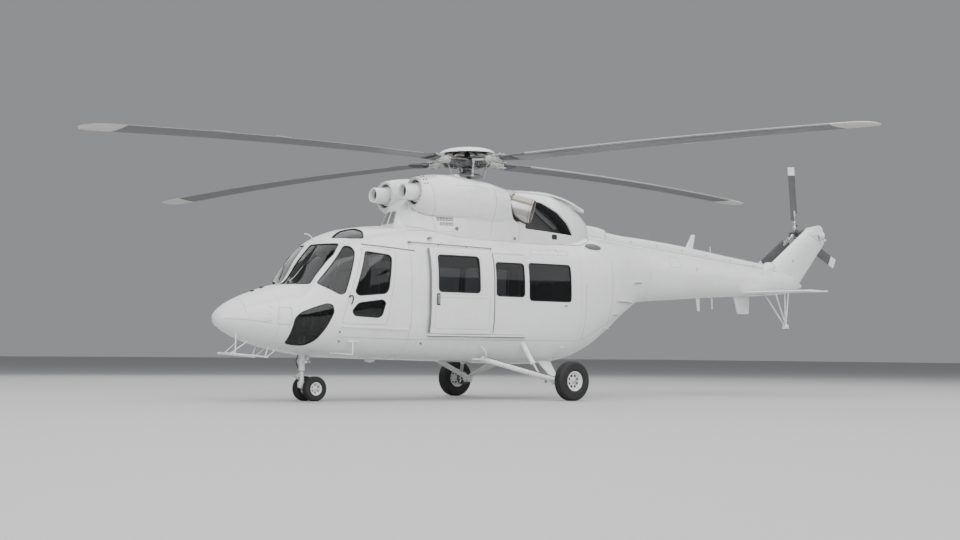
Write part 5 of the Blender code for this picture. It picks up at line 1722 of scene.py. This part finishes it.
bulge = Piece()
axis = Vector((1.0, 0.0, 0.35)).normalized()
bulge.turned(
    [(-0.16, 0.095), (-0.05, 0.12), (0.0, 0.124), (0.02, 0.112), (0.05, 0.112), (0.07, 0.126),
     (0.12, 0.118), (0.2, 0.09)], (7.3, 0, 2.425), axis, 36,
)
bulge.make("fin_root_gearbox", "white", smooth=45)

sections = []
for y in (0.3, 1.0, 1.66, 1.7, 1.718, 1.724):
    front = 6.4 if y <= 0.3 else 6.4 + 0.1 * (y - 0.3) / 1.36
    trim = 0.0 if y < 1.69 else 0.07 * ((y - 1.69) / 0.034) ** 2
    thick = (0.036 - 0.014 * y / 1.725) * sqrt(max(1 - (trim / 0.075) ** 2, 0.05))
    sections.append((y, front + trim, 7.14 - trim, thick))
rings = []
for y, front, back, thick in [(-y, a, b, t) for y, a, b, t in sections[::-1]] + sections:
    upper = [(front + u * (back - front), y, 1.945 + aerofoil(u) * thick + 0.001) for u in eased(14)]
    rings.append(upper + [(x, y, 3.89 - z) for x, y, z in upper[::-1]])
stabiliser = Piece().loft(rings)
stabiliser.make("stabiliser_skin", "white", replaces=["stabiliser"], smooth=50)
roots = Piece()
for side in (-1, 1):
    outline = rounded(((6.36, 1.905), (7.17, 1.915), (7.14, 1.985), (6.42, 1.99)), 0.03)
    y = side * on_hull(6.8, side_turn(6.8, 1.945, 1)).y
    roots.slab(outline, y - 0.012, y + 0.012)
roots.make("stabiliser_roots", "white_satin", bevel=0.004)

outline = rounded(((6.371, 1.98), (6.82, 1.98), (6.81, 1.55), (6.51, 1.54)), 0.05)
EDGE_STEPS = (-0.024, 0.05), (-0.012, 0), (0.012, 0), (0.024, 0.05)
plate_piece = Piece().loft([[(x + (6.66 - x) * lean, y, z) for x, z in outline] for y, lean in EDGE_STEPS])
plate_piece.make("ventral_plate", "white", replaces=["ventral_fin"], smooth=50)
skid = Piece()
foot = Vector((7.88, 0.0, 1.33))
for x, y in ((7.33, 0.17), (7.33, -0.17), (7.92, 0.05), (7.92, -0.05)):
    skid.tube([foot + Vector((0, y * 0.1, 0.0)), (x, y, 2.1)], 0.014, 12)
skid.turned([(-0.05, 0.034), (-0.044, 0.04), (0.044, 0.04), (0.05, 0.034)], foot, (0, 1, 0), 24)
skid.slab(rounded(((7.8, 1.285), (7.96, 1.285), (7.93, 1.31), (7.83, 1.31)), 0.008), -0.03, 0.03)
skid.make("tail_skid_frame", "white", replaces=["tail_skid"], smooth=45)
print("fin and stabiliser seams", len(marks.faces) + len(foot_seam.faces), "faces")

# %% Tail rotor
TAIL_RADIUS = 1.36


def tail_ring(along, side, r, half, thick, shift=0.0):
    spots = [(half + shift - 2 * half * u, aerofoil(u) * thick * 0.5 + 0.0005) for u in eased(10)]
    upper = [hub + along * r + side * s + Vector((0, y, 0)) for s, y in spots]
    return upper + [hub + along * r + side * s - Vector((0, y, 0)) for s, y in spots[::-1]]


FORK_PLATE = (0.22, -0.03), (0.46, -0.024), (0.47, 0.024), (0.22, 0.03)
hub_piece = Piece()
hub_piece.turned(
    [(-0.0997, 0.04), (-0.06, 0.04), (-0.055, 0.075), (0.055, 0.075), (0.062, 0.058), (0.105, 0.034),
     (0.11, 0.02)], hub, (0, 1, 0), 32,
)
hub_piece.make("tail_hub", "iron", "tail_rotor", ["tail_rotor_hub"])
spider = Piece()
for k in range(3):
    a = radians(5 - 120 * k)
    along, side = Vector((-sin(a), 0, cos(a))), Vector((cos(a), 0, sin(a)))
    fork = Piece()
    fork.turned(
        [(0.05, 0.036), (0.13, 0.038), (0.14, 0.028), (0.2, 0.028), (0.21, 0.036), (0.25, 0.036)], hub,
        along, 20,
    )
    for y in (-0.022, 0.014):
        outline = [hub + along * r + side * s + Vector((0, y, 0)) for r, s in FORK_PLATE]
        fork.loft([outline, [p + Vector((0, 0.008, 0)) for p in outline]])
    fork.make(f"tail_fork_{k + 1}", "alloy", "tail_rotor", bevel=0.002)
    arm = hub + Vector((0, 0.085, 0))
    spider.tube([arm, arm + along * 0.06 + side * 0.05, hub + along * 0.17 + side * 0.07], 0.012, 10)
    spider.ball(hub + along * 0.17 + side * 0.07, 0.02, rings=6, sides=10)
    spider.tube([hub + along * 0.17 + side * 0.07, hub + along * 0.17], 0.012, 10)
    blade = Piece().loft([
        tail_ring(along, side, r, 0.045, t, -0.056) for r, t in ((0.27, 0.022), (0.42, 0.02))
    ])
    blade.loft([tail_ring(along, side, r, 0.101, t) for r, t in ((0.41, 0.02), (0.8, 0.015), (1.19, 0.011))])
    blade.make(f"tail_blade_skin_{k + 1}", "blade", "tail_rotor", [f"tail_blade_{k + 1}"], smooth=50)
    end_table = (1.192, 0.1015, 0.0112), (1.345, 0.1015, 0.0095), (TAIL_RADIUS, 0.098, 0.007)
    end = Piece().loft([tail_ring(along, side, *row) for row in end_table])
    end.make(f"tail_blade_tip_{k + 1}", "tip_white", "tail_rotor", smooth=50)
spider.make("tail_spider", "iron", "tail_rotor")
print("tail rotor", round(2 * TAIL_RADIUS, 2), "m across")

# %% [markdown]
# ## Landing gear
# The nose leg is a steered fork with two small tyres; each main wheel hangs on a long white arm with an
# oil strut from the hull. Tubes, turned parts and small plates rebuild them in the way they are made, and
# every tyre keeps its grooves, rim holes and hub cap so that it reads as rubber on a light wheel.

# %% Wheels
def tyre_profile(half, radius, bead, grooves):
    """Closed section of a tyre: bead, sidewall, and a tread with its grooves."""
    shoulder = 0.72 * half
    side = [
        (half * 0.74, bead), (half * 0.97, bead + (radius - bead) * 0.3),
        (half, bead + (radius - bead) * 0.58),
    ]
    side += [(half * 0.93, bead + (radius - bead) * 0.83), (shoulder, radius - 0.01 * half / 0.1)]
    tread = []
    for k in range(grooves):
        y = shoulder * (0.78 - 1.56 * k / (grooves - 1))
        tread += [
            (y + 0.0045, radius - 0.001), (y + 0.0035, radius - 0.007), (y - 0.0035, radius - 0.007),
            (y - 0.0045, radius - 0.001),
        ]
    return side + tread + [(-y, r) for y, r in side[::-1]] + [(-half * 0.62, bead), (half * 0.62, bead)]


def wheel(name, body, centre, side, half, radius, bead, holes, replaces):
    tyre = Piece().lathe(tyre_profile(half, radius, bead, 4), centre, (0, 1, 0), 72)
    bulge = [(0.985, 0.04), (1.02, 0.052), (1.0, 0.07), (0.97, 0.055)]
    tyre.lathe([(half * a, bead + b * radius / 0.3) for a, b in bulge], centre, (0, side, 0), 72)
    tyre.make(f"{name}_tyre", "rubber", body, replaces, smooth=35)
    lip = bead + 0.008
    face = half * 0.62
    rim = Piece()
    profile = [
        (-half * 0.72, lip), (-half * 0.78, lip + 0.004), (-half * 0.78, lip - 0.012),
        (-half * 0.5, lip - 0.028),
    ]
    profile += [
        (face * 0.25, lip * 0.7), (face * 0.45, lip * 0.3), (face * 0.45, 0.012), (face * 0.62, 0.012),
        (face * 0.62, lip * 0.36),
    ]
    profile += [
        (face * 0.42, lip * 0.74), (half * 0.62, lip - 0.022), (half * 0.8, lip - 0.012),
        (half * 0.8, lip + 0.004), (half * 0.72, lip),
    ]
    rim.lathe(profile, centre, (0, side, 0), 64)
    rim.make(f"{name}_rim", "white_satin", body, smooth=35)
    marks, caps = Piece(), Piece()
    # each rim hole is a dark stub through the rim: painted shade for the hole
    for k in range(holes):
        t = TURN * (k + 0.5) / holes
        ray = Vector((cos(t), 0, sin(t)))
        # It follows the hull's section at one station and is straight along the machine, because only such a
        # shape can slide. A roll closes its front edge; it is painted grey for the shade along that edge.
        spot = Vector(centre) + ray * lip * 0.56
        marks.stub(face * 0.3, face * 0.565, lip * 0.15, spot, (0, side, 0), 14)
        spot = Vector(centre) + Vector((cos(t + pi / holes), 0, sin(t + pi / holes))) * lip * 0.4
        caps.stub(face * 0.5, face * 0.68, 0.006, spot, (0, side, 0), 6)
    marks.make(f"{name}_rim_hole_shade", "dark", body)
    reach = face * 1.25
    caps.lathe(
        [(face * 0.4, 0), (face * 0.4, lip * 0.27), (reach * 0.9, lip * 0.25), (reach, lip * 0.19),
         (reach * 1.04, 0)], centre, (0, side, 0), 32,
    )
    caps.make(f"{name}_hub_cap", "alloy", body)


for side, word in SIDES:
    centre = (0.949, side * 1.577, 0.316)
    wheel(
        f"main_wheel_{word}", f"main_wheel_{word}", centre, side, 0.098, 0.316, 0.146, 8,
        [f"main_wheel_{word}"],
    )
for side, word in SIDES:
    centre = (-2.99, side * 0.15, 0.19)
    wheel(
        f"nose_wheel_{word}", "nose_wheels", centre, side, 0.064, 0.19, 0.092, 6,
        ["nose_wheels"] if side < 0 else (),
    )
axle = Piece().stub(-0.1, 0.1, 0.024, (-2.99, 0, 0.19), (0, 1, 0), 20)
axle.make("nose_axle", "steel", "nose_wheels")
print("wheels", 4)

# %% Nose leg
leg = Piece()
leg.turned(
    [(0.462, 0.044), (0.475, 0.048), (0.56, 0.046), (0.56, 0.06), (0.575, 0.064), (0.63, 0.064),
     (0.64, 0.058), (0.64, 0.046), (0.7, 0.046), (0.705, 0.056), (0.725, 0.056), (0.73, 0.048),
    (1.0, 0.048)], (-3.13, 0, 0), (0, 0, 1), 32,
)
leg.tube([(-3.1, 0, 0.58), (-2.87, 0, 0.9)], 0.028, 18)
leg.tube([(-3.09, 0, 0.6), (-3.03, 0, 0.66)], 0.038, 18)
leg.block((-3.16, -0.135, 0.585), (-3.11, -0.06, 0.615))
leg.block((-3.16, 0.06, 0.585), (-3.11, 0.135, 0.615))
leg.make("nose_leg_body", "white_satin", replaces=["nose_leg"], bevel=0.002)
rings = Piece()
for z in (0.576, 0.606, 0.634):
    rings.collar(z, z + 0.008, 0.058, 0.0665, (-3.13, 0, 0), (0, 0, 1), 32)
rings.collar(-0.015, 0.015, 0.016, 0.032, (-3.08, -0.115, 0.6), (1, 0, 0), 20)
rings.make("nose_leg_rings", "alloy")
hose = Piece()
hose.tube([(-3.19, 0.02, 0.7), (-3.215, 0.03, 0.62), (-3.2, 0.03, 0.55), (-3.185, 0.02, 0.5)], 0.007, 8)
hose.make("nose_leg_hose", "seal")
fork = Piece()
fork.lathe(
    [(0.22, 0), (0.22, 0.034), (0.235, 0.038), (0.35, 0.038), (0.36, 0.031), (0.45, 0.031), (0.455, 0)],
    (-3.13, 0, 0), (0, 0, 1), 28,
)
arm = rounded(
    ((-3.18, 0.3), (-3.09, 0.3), (-2.95, 0.232), (-2.945, 0.15), (-3.02, 0.15), (-3.18, 0.205)), 0.022,
)
FORK_EDGES = (-0.044, 0.1), (-0.034, 0), (0.034, 0), (0.044, 0.1)
fork.loft([[(x + (-3.06 - x) * lean, y, z + (0.22 - z) * lean) for x, z in arm] for y, lean in FORK_EDGES])
fork.make("nose_fork_body", "white_satin", "nose_steering", ["nose_fork"], smooth=40)
torque = Piece()
for z, way in ((0.435, -1), (0.315, 1)):
    outline = rounded(
        ((-3.155, z + 0.014), (-3.245, 0.382 - way * 0.002), (-3.262, 0.375), (-3.245, 0.368),
         (-3.155, z - 0.014)), 0.006,
    )
    for y in (-0.018, 0.01):
        torque.slab(outline, y, y + 0.008)
torque.stub(-0.026, 0.026, 0.01, (-3.25, 0, 0.375), (0, 1, 0), 12)
torque.make("torque_links", "alloy", "nose_steering")
print("nose leg faces", len(leg.faces))

# %% Main gear
def at(side, x, y, z):
    """Point given on the starboard side, carried to its own side."""
    return Vector((x, side * y, z))


for side, word in SIDES:
    arm = Piece()
    inner, outer = at(side, -0.16, 0.66, 0.66), at(side, 0.949, 1.19, 0.316)
    arm.tube([inner, inner.lerp(outer, 0.86)], 0.041, 28)
    arm.tube([inner.lerp(outer, 0.86), outer], 0.046, 28, 0.034)
    arm.tube([at(side, -0.4, 0.7, 0.655), at(side, -0.15, 0.715, 0.655)], 0.014, 12)
    arm.tube(
        [at(side, -0.29, 0.76, 0.86), at(side, -0.25, 0.8, 0.83), at(side, -0.19, 0.8, 0.74),
         at(side, -0.14, 0.7, 0.66)], 0.016, 12,
    )
    arm.turned(
        [(-0.03, 0.036), (0.0, 0.046), (0.02, 0.046), (0.03, 0.04)], inner, (outer - inner).normalized(), 24,
    )
    for x, z in ((0.7, 0.36), (0.7, 0.3)):
        arm.tube([at(side, x, 1.06, z), at(side, x - 0.03, 1.06, z - 0.05)], 0.01, 10)
    for sign in (-1, 1):
        ear = at(side, 0.7, 1.06 + 0.03 * sign, 0.385)
        arm.tube([ear - UP * 0.03, ear + UP * 0.035], 0.014, 10)
    arm.turned([(-0.06, 0.05), (-0.054, 0.055), (0.054, 0.055), (0.06, 0.05)], outer, (0, 1, 0), 28)
    arm.tube([outer, at(side, 0.949, 1.5, 0.316)], 0.033, 24)
    plate_outline = ((1.3, 0.6, 0.62), (1.05, 0.6, 0.62), (0.905, 1.19, 0.335), (0.975, 1.19, 0.335))
    arm.loft([[at(side, x, y, z + lift) for x, y, z in plate_outline] for lift in (-0.011, 0.011)])
    for a, b in ((0, 3), (1, 2)):
        start, end = at(side, *plate_outline[a]), at(side, *plate_outline[b])
        arm.tube([start, end], 0.015, 12)
    for y in (1.13, 1.25):
        arm.slab(
            rounded(((0.9, 0.25), (0.99, 0.25), (0.995, 0.37), (0.9, 0.37)), 0.02), side * y - 0.006,
            side * y + 0.006,
        )
    arm.make(f"main_gear_arm_{word}", "white_satin", replaces=[f"main_gear_{word}"], bevel=0.002)
    strut = Piece()
    foot, head = at(side, 0.7, 1.06, 0.405), at(side, 0.56, 0.78, 0.93)
    way = (head - foot).normalized()
    long = (head - foot).length
    strut.turned(
        [(long * 0.34, 0.038), (long * 0.36, 0.046), (long * 0.4, 0.046), (long * 0.41, 0.04),
         (long * 0.66, 0.04), (long * 0.67, 0.046), (long * 0.95, 0.046), (long, 0.04)], foot, way, 28,
    )
    strut.ball(foot, 0.036, rings=10, sides=20)
    strut.make(f"strut_body_{word}", "white")
    rod = Piece().turned([(0.0, 0.024), (0.06, 0.026), (long * 0.46, 0.026)], foot, way, 24)
    rod.stub(-0.03, 0.03, 0.013, foot, (side * 0.9, 0.44, 0), 14)
    rod.make(f"strut_rod_{word}", "steel")
    brake = Piece()
    brake.turned(
        [(1.3, 0.1), (1.315, 0.11), (1.37, 0.11), (1.385, 0.1)], at(side, 0.949, 0, 0.316), (0, side, 0), 32,
    )
    for k in range(5):
        t = TURN * k / 5 + 0.4
        spot = at(side, 0.949 + 0.078 * cos(t), 0, 0.316 + 0.078 * sin(t))
        brake.stub(1.27, 1.31, 0.02, spot, (0, side, 0), 12)
    brake.make(f"brake_{word}", "iron")
    pipe = Piece()
    path = [inner.lerp(outer, t) + UP * 0.046 for t in (0.05, 0.3, 0.6, 0.9)]
    path += [at(side, 0.949, 1.27, 0.375), at(side, 0.949, 1.31, 0.36)]
    pipe.tube(path, 0.006, 8)
    pipe.make(f"brake_pipe_{word}", "seal")
    clips = Piece()
    for t in (0.28, 0.62):
        spot = inner.lerp(outer, t)
        clips.collar(-0.008, 0.008, 0.038, 0.0445, spot, (outer - inner).normalized(), 24)
    tab = at(side, 0.8, 1.11, 0.3)
    clips.stub(-0.01, 0.01, 0.024, tab, (0, 1, 0), 16)
    clips.tube([tab, tab + UP * 0.07], 0.01, 10)
    clips.make(f"arm_clips_{word}", "alloy")
print("main gear", 2)

# %% [markdown]
# ## Small things on the skin
# A clean white hull still carries hundreds of small items: seams, screws, wipers, steps, vents, aerials
# and lights. They could be drawn in a texture, but at this size most of them catch light on an edge, so
# they are thin raised pieces laid on the same hull surface as the skin.

# %% Nose and cockpit
wipers, blades = Piece(), Piece()
for side in (-1, 1):
    path = []
    for y, z in ((0.213, 1.775), (0.24, 1.85), (0.27, 1.93), (0.3, 2.02)):
        x = front_station(side * y, z)
        path.append(on_hull(x, side_turn(x, z, side), 0.022))
    wipers.tube(path, 0.0048, 8)
    blades.ball(path[0], 0.021, (1.0, 1.0, 1.0), 8, 14)
    run = []
    for y, z in ((0.245, 1.86), (0.29, 1.98), (0.335, 2.1), (0.38, 2.22)):
        x = front_station(side * y, z)
        run.append(on_hull(x, side_turn(x, z, side), 0.01))
    blades.tube(run, 0.006, 6)
wipers.make("wiper_arms", "steel")
blades.make("wiper_blades", "seal")
probe = Piece()
base = on_hull(-2.914, roof_turn(-2.914, 0.08), 0.0)
bends = (0, 0, -0.02), (-0.03, 0, 0.035), (-0.08, 0, 0.062), (-0.13, 0, 0.075), (-0.16, 0, 0.07)
probe.tube([base + Vector(bend) for bend in bends], 0.009, 10)
probe.stub(-0.01, 0.008, (0.035, 0.03), base, (0, 0, 1), 20)
probe.make("roof_probe", "white_satin")
marks = Piece()
for side in (-1, 1):
    seam(marks, [(-4.55, 1.226), (-4.393, 1.222), (-4.093, 1.19), (-3.96, 1.165)], side, 0.004, 0.0012)
    hatch = rounded(((-3.881, 1.391), (-3.7, 1.405), (-3.695, 1.15), (-3.893, 1.156)), 0.03)
    ribbon(marks, on_side(hatch, side), on_hull, 0.004, 0.0012)
NOSE_JOINT = [(-4.3, t) for t in np.linspace(0.25, pi - 0.25, 40)]
ribbon(marks, NOSE_JOINT, on_hull, 0.004, 0.0012, closed=False)
marks.make("nose_seams", "line")
screws = Piece()
places = (
    (-3.997, 1.426), (-3.961, 1.412), (-4.009, 1.312), (-3.973, 1.301), (-4.055, 1.19), (-4.013, 1.201),
    (-3.975, 1.201),
)
places += ((-3.703, 1.386), (-3.706, 1.315), (-3.725, 1.153), (-3.719, 1.121))
for side in (-1, 1):
    studs(screws, on_side(places, side), on_hull, 0.0075, 0.003, 10)
screws.make("nose_screws", "grey")
blisters = Piece()
for x, y in ((-3.985, 0.025), (-3.82, 0.034)):
    here, out = facing(on_hull, x, roof_turn(x, y))
    blisters.ball(here, 0.035, (1.3, 1.0, 0.5), 8, 18)
blisters.make("nose_blisters", "seal")

# %% Nose aerial
rail = Piece()
rail.tube([(-4.42, -0.22, 0.72), (-4.42, 0.22, 0.72)], 0.0135, 12)
for side in (-1, 1):
    rail.tube([(-4.46, side * 0.2, 0.72), (-3.84, side * 0.2, 0.67)], 0.0115, 12)
    if side < 0:
        rail.tube([(-4.38, side * 0.2, 0.715), (-4.36, side * 0.18, 1.1)], 0.01, 10)
    rail.tube([(-4.4, side * 0.1, 0.722), (-4.16, side * 0.16, 0.9)], 0.008, 10)
    rail.tube([(-3.85, side * 0.2, 0.672), (-3.66, side * 0.18, 0.8)], 0.009, 10)
    rail.ball((-3.845, side * 0.2, 0.67), 0.018, rings=6, sides=10)
    rail.tube([(-3.88, side * 0.2, 0.68), (-3.78, side * 0.18, 0.95)], 0.01, 10)
    for x, z in ((-4.42, 0.72), (-3.88, 0.675)):
        rail.stub(-0.016, 0.016, 0.019, (x, side * 0.2, z), (0, 1, 0), 12)
    rail.ball((-4.42, side * 0.225, 0.72), 0.017, rings=6, sides=10)
rail.make("nose_aerial_frame", "white", replaces=["nose_antenna"])

# %% Steps, vents and fittings
def hull_at(side, x, z, out=0.0):
    """Point of the hull's side at a station and height."""
    return on_hull(x, side_turn(x, z, side), out)


FOOT_LEDGES = (
    ((3.289, 2.027), (3.483, 2.036)), ((2.757, 1.683), (3.323, 1.687)), ((2.7, 1.459), (2.83, 1.462)),
    ((2.54, 1.214), (2.66, 1.218)),
)
steps, trim, lines = Piece(), Piece(), Piece()
for side in (-1, 1):
    tube = [hull_at(side, -2.703, 0.93, -0.02), hull_at(side, -2.703, 0.93, 0.03) - UP * 0.04]
    tube.append(hull_at(side, -2.703, 0.93, 0.02) - UP * 0.2)
    tube += [
        Vector((-2.8, side * 0.6, 0.728)), Vector((-2.91, side * 0.455, 0.735)),
        Vector((-2.91, side * 0.44, 0.8)),
    ]
    steps.tube(tube, 0.012, 10)
    steps.tube([hull_at(side, -2.8, 0.932, 0.03), hull_at(side, -2.6, 0.93, 0.03)], 0.014, 10)
    for (x0, z0), (x1, z1) in FOOT_LEDGES:
        run = [(x0 + (x1 - x0) * t, z0 + (z1 - z0) * t) for t in np.linspace(0, 1, 9)]
        ribbon(steps, on_side(run, side), on_hull, 0.014, 0.045, closed=False)
        for x, z in (run[0], run[-1]):
            steps.tube([hull_at(side, x, z, 0.042), hull_at(side, x, z - 0.045, -0.005)], 0.006, 8)
        # a grey strip just under each ledge is painted shade cast by the ledge
        shade = [(x, z - 0.014) for x, z in run]
        ribbon(trim, on_side(shade, side), on_hull, 0.01, 0.04, 0.034, closed=False)
    for x, z, long in ((-2.952, 1.055, 0.02), (-2.92, 0.917, 0.02), (-1.46, 0.903, 0.03)):
        here, out = facing(on_hull, x, side_turn(x, z, side))
        trim.stub(-0.01, long, (0.016, 0.013), here, out, 12)
    drain = [
        hull_at(side, 1.43, 0.885, -0.01), hull_at(side, 1.43, 0.875, 0.035),
        hull_at(side, 1.49, 0.875, 0.035), hull_at(side, 1.49, 0.885, -0.01),
    ]
    steps.tube(drain, 0.008, 8)
    seam(trim, [(1.38, 1.549), (1.45, 1.549)], side, 0.02, 0.006, 0.02)
    vent = hull_at(side, -1.287, 2.5)
    steps.stub(-0.01, 0.045, 0.012, vent, (0, 0, 1), 12)
    trim.lathe([(0.04, 0), (0.04, 0.04), (0.052, 0.042), (0.062, 0.03), (0.065, 0)], vent, (0, 0, 1), 24)
    rivets = [(-1.086, 2.489), (-0.76, 2.457), (-0.485, 2.455), (-0.165, 2.446), (0.3, 2.44), (1.3, 2.48)]
    studs(trim, on_side(rivets, side), on_hull, 0.01, 0.004, 10)
    rod = [hull_at(side, x, 2.442 - 0.026 * (x + 1.66) / 1.5, 0.03) for x in np.linspace(-1.7, -0.12, 24)]
    trim.tube(rod, 0.008, 8)
    for k in (0, 8, 16, 23):
        near = rod[k]
        trim.tube([near, near + (Vector((near.x, 0, 2.0)) - near).normalized() * 0.04], 0.008, 8)
    trim.stub(-0.03, 0.03, 0.014, rod[0], (1, 0, 0), 12)
    panel = rounded(((0.723, 2.389), (1.535, 2.395), (1.535, 2.47), (0.723, 2.465)), 0.01)
    ribbon(lines, on_side(panel, side), on_hull, 0.003, 0.001)
    for x, low, high in ((1.9, 1.0, 1.93), (1.311, 2.384, 2.468), (-1.72, 0.95, 2.4), (2.62, 0.98, 2.4)):
        seam(lines, [(x, low), (x, high)], side)
    seam(lines, [(-3.0, 0.98), (-1.76, 0.955), (1.85, 0.97), (2.9, 1.42)], side, 0.0035, 0.0012, 0.06)
    ribbon(lines, on_side(rounded(rectangle(4.35, 4.62, 2.34, 2.52), 0.03), side), on_hull, 0.0035, 0.0012)
    seam(trim, [(5.05, 2.3), (5.05, 2.36)], side, 0.012, 0.003, 0.02)
    seam(trim, [(6.95, 2.29), (6.93, 2.35)], side, 0.014, 0.002, 0.02)
    foot_line = [
        (-1.55, 2.675), (-1.1, 2.68), (-0.7, 2.678), (0.04, 2.64), (0.56, 2.605), (1.12, 2.605),
        (1.6, 2.585), (1.95, 2.6), (2.2, 2.68), (2.33, 2.78),
    ]
    seam(lines, foot_line, side, 0.009, 0.0025, 0.05)
steps.make("steps_and_drains", "white")
trim.make("skin_fittings", "grey")
lines.make("skin_seams", "line")
drop = Piece()
for side in (-1, 1):
    rings = []
    for t in np.linspace(0, 1, 15):
        x = 2.04 + 0.4 * t
        size = 0.058 * sqrt(max(1 - (2 * t - 1) ** 2, 0.002)) * (1.15 - 0.3 * t)
        z = 2.59 - 0.02 * t
        base = on_hull(x, side_turn(x, z, side), 0.004)
        rings.append([
            base + Vector((0, size * 0.9 * cos(a), size * sin(a))) for a in np.linspace(0, TURN, 18, False)
        ])
    drop.loft(rings)
drop.make("teardrop_fairings", "grey", smooth=60)
# the vents are black plates on the cowl: painted shade for the openings
vents = Piece()
for side in (-1, 1):
    outline = rounded(rectangle(1.26, 1.385, 2.665, 2.75), 0.03)
    place = surface_of(aft, "y", -side)
    plate(vents, outline, [], place, 0.002, -0.003, (0.03, 0.03))
vents.make("aft_cowl_vent_shade", "seal")
print("small fittings", len(steps.faces) + len(trim.faces) + len(lines.faces), "faces")

# %% Aerials and lights
aerials = Piece()
outline = rounded(((5.1, 2.74), (5.3, 2.74), (5.36, 3.0), (5.26, 3.0)), 0.015)
BLADE_EDGES = (-0.008, 0.15), (0.0, 0), (0.008, 0.15)
aerials.loft([[(x + (5.24 - x) * lean, y, z) for x, z in outline] for y, lean in BLADE_EDGES])
aerials.tube([(5.76, 0, 2.66), (5.76, 0, 2.8)], 0.006, 8)
for x, deep, wide in ((5.42, 0.24, 0.1), (5.8, 0.22, 0.035)):
    z = section(x)[1]
    outline = rounded(
        ((x - wide / 2, z + 0.03), (x + wide / 2, z + 0.03), (x + wide * 0.55, z - deep), (x, z - deep)),
        0.012,
    )
    aerials.slab(outline, -0.006, 0.006)
aerials.make("aerials", "white", bevel=0.002)
lamps_glass, holders = Piece(), Piece()
holders.stub(-0.02, 0.05, (0.035, 0.03), (9.02, 0, 3.1), (1, 0, -0.15), 20)
lamps_glass.ball((9.075, 0, 3.09), 0.028, (1.3, 1, 1), 10, 20)
holders.stub(0.0, 0.06, (0.04, 0.034), (8.28, 0, 2.04), (1, 0, 0), 20)
lamps_glass.ball((8.345, 0, 2.04), 0.032, (1.2, 1, 1), 10, 20)
for side in (-1, 1):
    spot = Vector((7.05, side * 1.722, 1.947))
    holders.tube([spot - Vector((0.09, 0, 0)), spot], 0.014, 12)
    lamps_glass.ball(spot, 0.016, (1.6, 1, 1), 8, 16)
belly = Vector((-1.9, 0.0, section(-1.9)[1]))
holders.stub(-0.02, 0.03, (0.09, 0.085), belly, (0, 0, -1), 32)
lamps_glass.lathe([(0.028, 0), (0.028, 0.078), (0.045, 0.06), (0.052, 0)], belly, (0, 0, -1), 32)
holders.make("lamp_holders", "white_satin")
lamps_glass.make("lamp_lenses", "lens")
print("lamps", 5)

# %% [markdown]
# ## What stays from the CAD model
# The cabin floor and the closed blocks of engines and gearbox behind the cowls are plain shapes whose form
# is already right. They keep their CAD mesh and only take a better finish of the same slot.

# %% Kept nodes
KEPT = ("cabin_floor", "engine_left", "engine_right", "main_gearbox")
for name in KEPT:
    mesh = frame["nodes"][name].data
    mesh.materials.clear()
    mesh.materials.append(FINISH["grey" if name == "cabin_floor" else "dark"][0])
print("kept CAD nodes", len(KEPT))

# %% [markdown]
# ## Floor, light and camera
# White paint shows its form only by what it reflects, so it gets a pale floor and large soft lamps; small
# hard lamps would burn it out. The camera stands where the photo's camera stood.

# %% Stage
def stage_floor():
    mesh = bpy.data.meshes.new("floor")
    reach = 160.0
    corners = [(-reach, -reach, 0), (reach, -reach, 0), (reach, reach, 0), (-reach, reach, 0)]
    mesh.from_pydata(corners, [], [(0, 1, 2, 3)])
    mat = bpy.data.materials.new("floor_grey")
    mat.use_nodes = True
    shader = mat.node_tree.nodes["Principled BSDF"]
    shader.inputs["Base Color"].default_value = (0.46, 0.46, 0.46, 1.0)
    shader.inputs["Roughness"].default_value = 0.7
    mesh.materials.append(mat)
    return placed("floor", mesh)


def lamp(name, place, target, size, power):
    data = bpy.data.lights.new(name, "AREA")
    data.shape = "RECTANGLE"
    data.size, data.size_y = size
    data.energy = power
    obj = placed(name, data)
    obj.location = place
    obj.rotation_euler = (Vector(target) - Vector(place)).to_track_quat("-Z", "Y").to_euler()
    return obj


lamps = [
    lamp("key", (-11.0, -18.0, 14.0), (0.0, 0.0, 1.8), (44.0, 26.0), 9000.0),
    lamp("overhead", (1.0, 0.0, 16.0), (1.0, 0.0, 0.0), (34.0, 24.0), 4200.0),
    lamp("tail", (18.0, -18.0, 14.0), (4.0, 0.0, 2.0), (26.0, 18.0), 1400.0),
    lamp("far_side", (4.0, 20.0, 12.0), (0.0, 0.0, 2.0), (26.0, 18.0), 1600.0),
]
stage_floor()

world = bpy.data.worlds.new("studio")
world.use_nodes = True
world.node_tree.nodes["Background"].inputs["Color"].default_value = (0.8, 0.82, 0.85, 1.0)
world.node_tree.nodes["Background"].inputs["Strength"].default_value = 0.36
bpy.context.scene.world = world

# %% Camera
CAMERA_PLACE = Vector((-14.963, -19.926, 0.742))
YAW, PITCH, ROLL = (radians(a) for a in (-37.417, 3.188, 0.455))
ahead = Vector((-sin(YAW) * cos(PITCH), cos(YAW) * cos(PITCH), sin(PITCH)))
right = Vector((cos(YAW), sin(YAW), 0.0))
above = right.cross(ahead)
right, above = (
    right * cos(ROLL) + above * sin(ROLL), above * cos(ROLL) - right * sin(ROLL)
)
camera_data = bpy.data.cameras.new("camera")
camera_data.sensor_width = 36.0
camera_data.lens = 56.44
camera = placed("camera", camera_data)
facing_ahead = Matrix((right, above, -ahead)).transposed().to_4x4()
camera.matrix_world = Matrix.Translation(CAMERA_PLACE + MAST) @ facing_ahead
bpy.context.scene.camera = camera

# %% End
print("scene built")
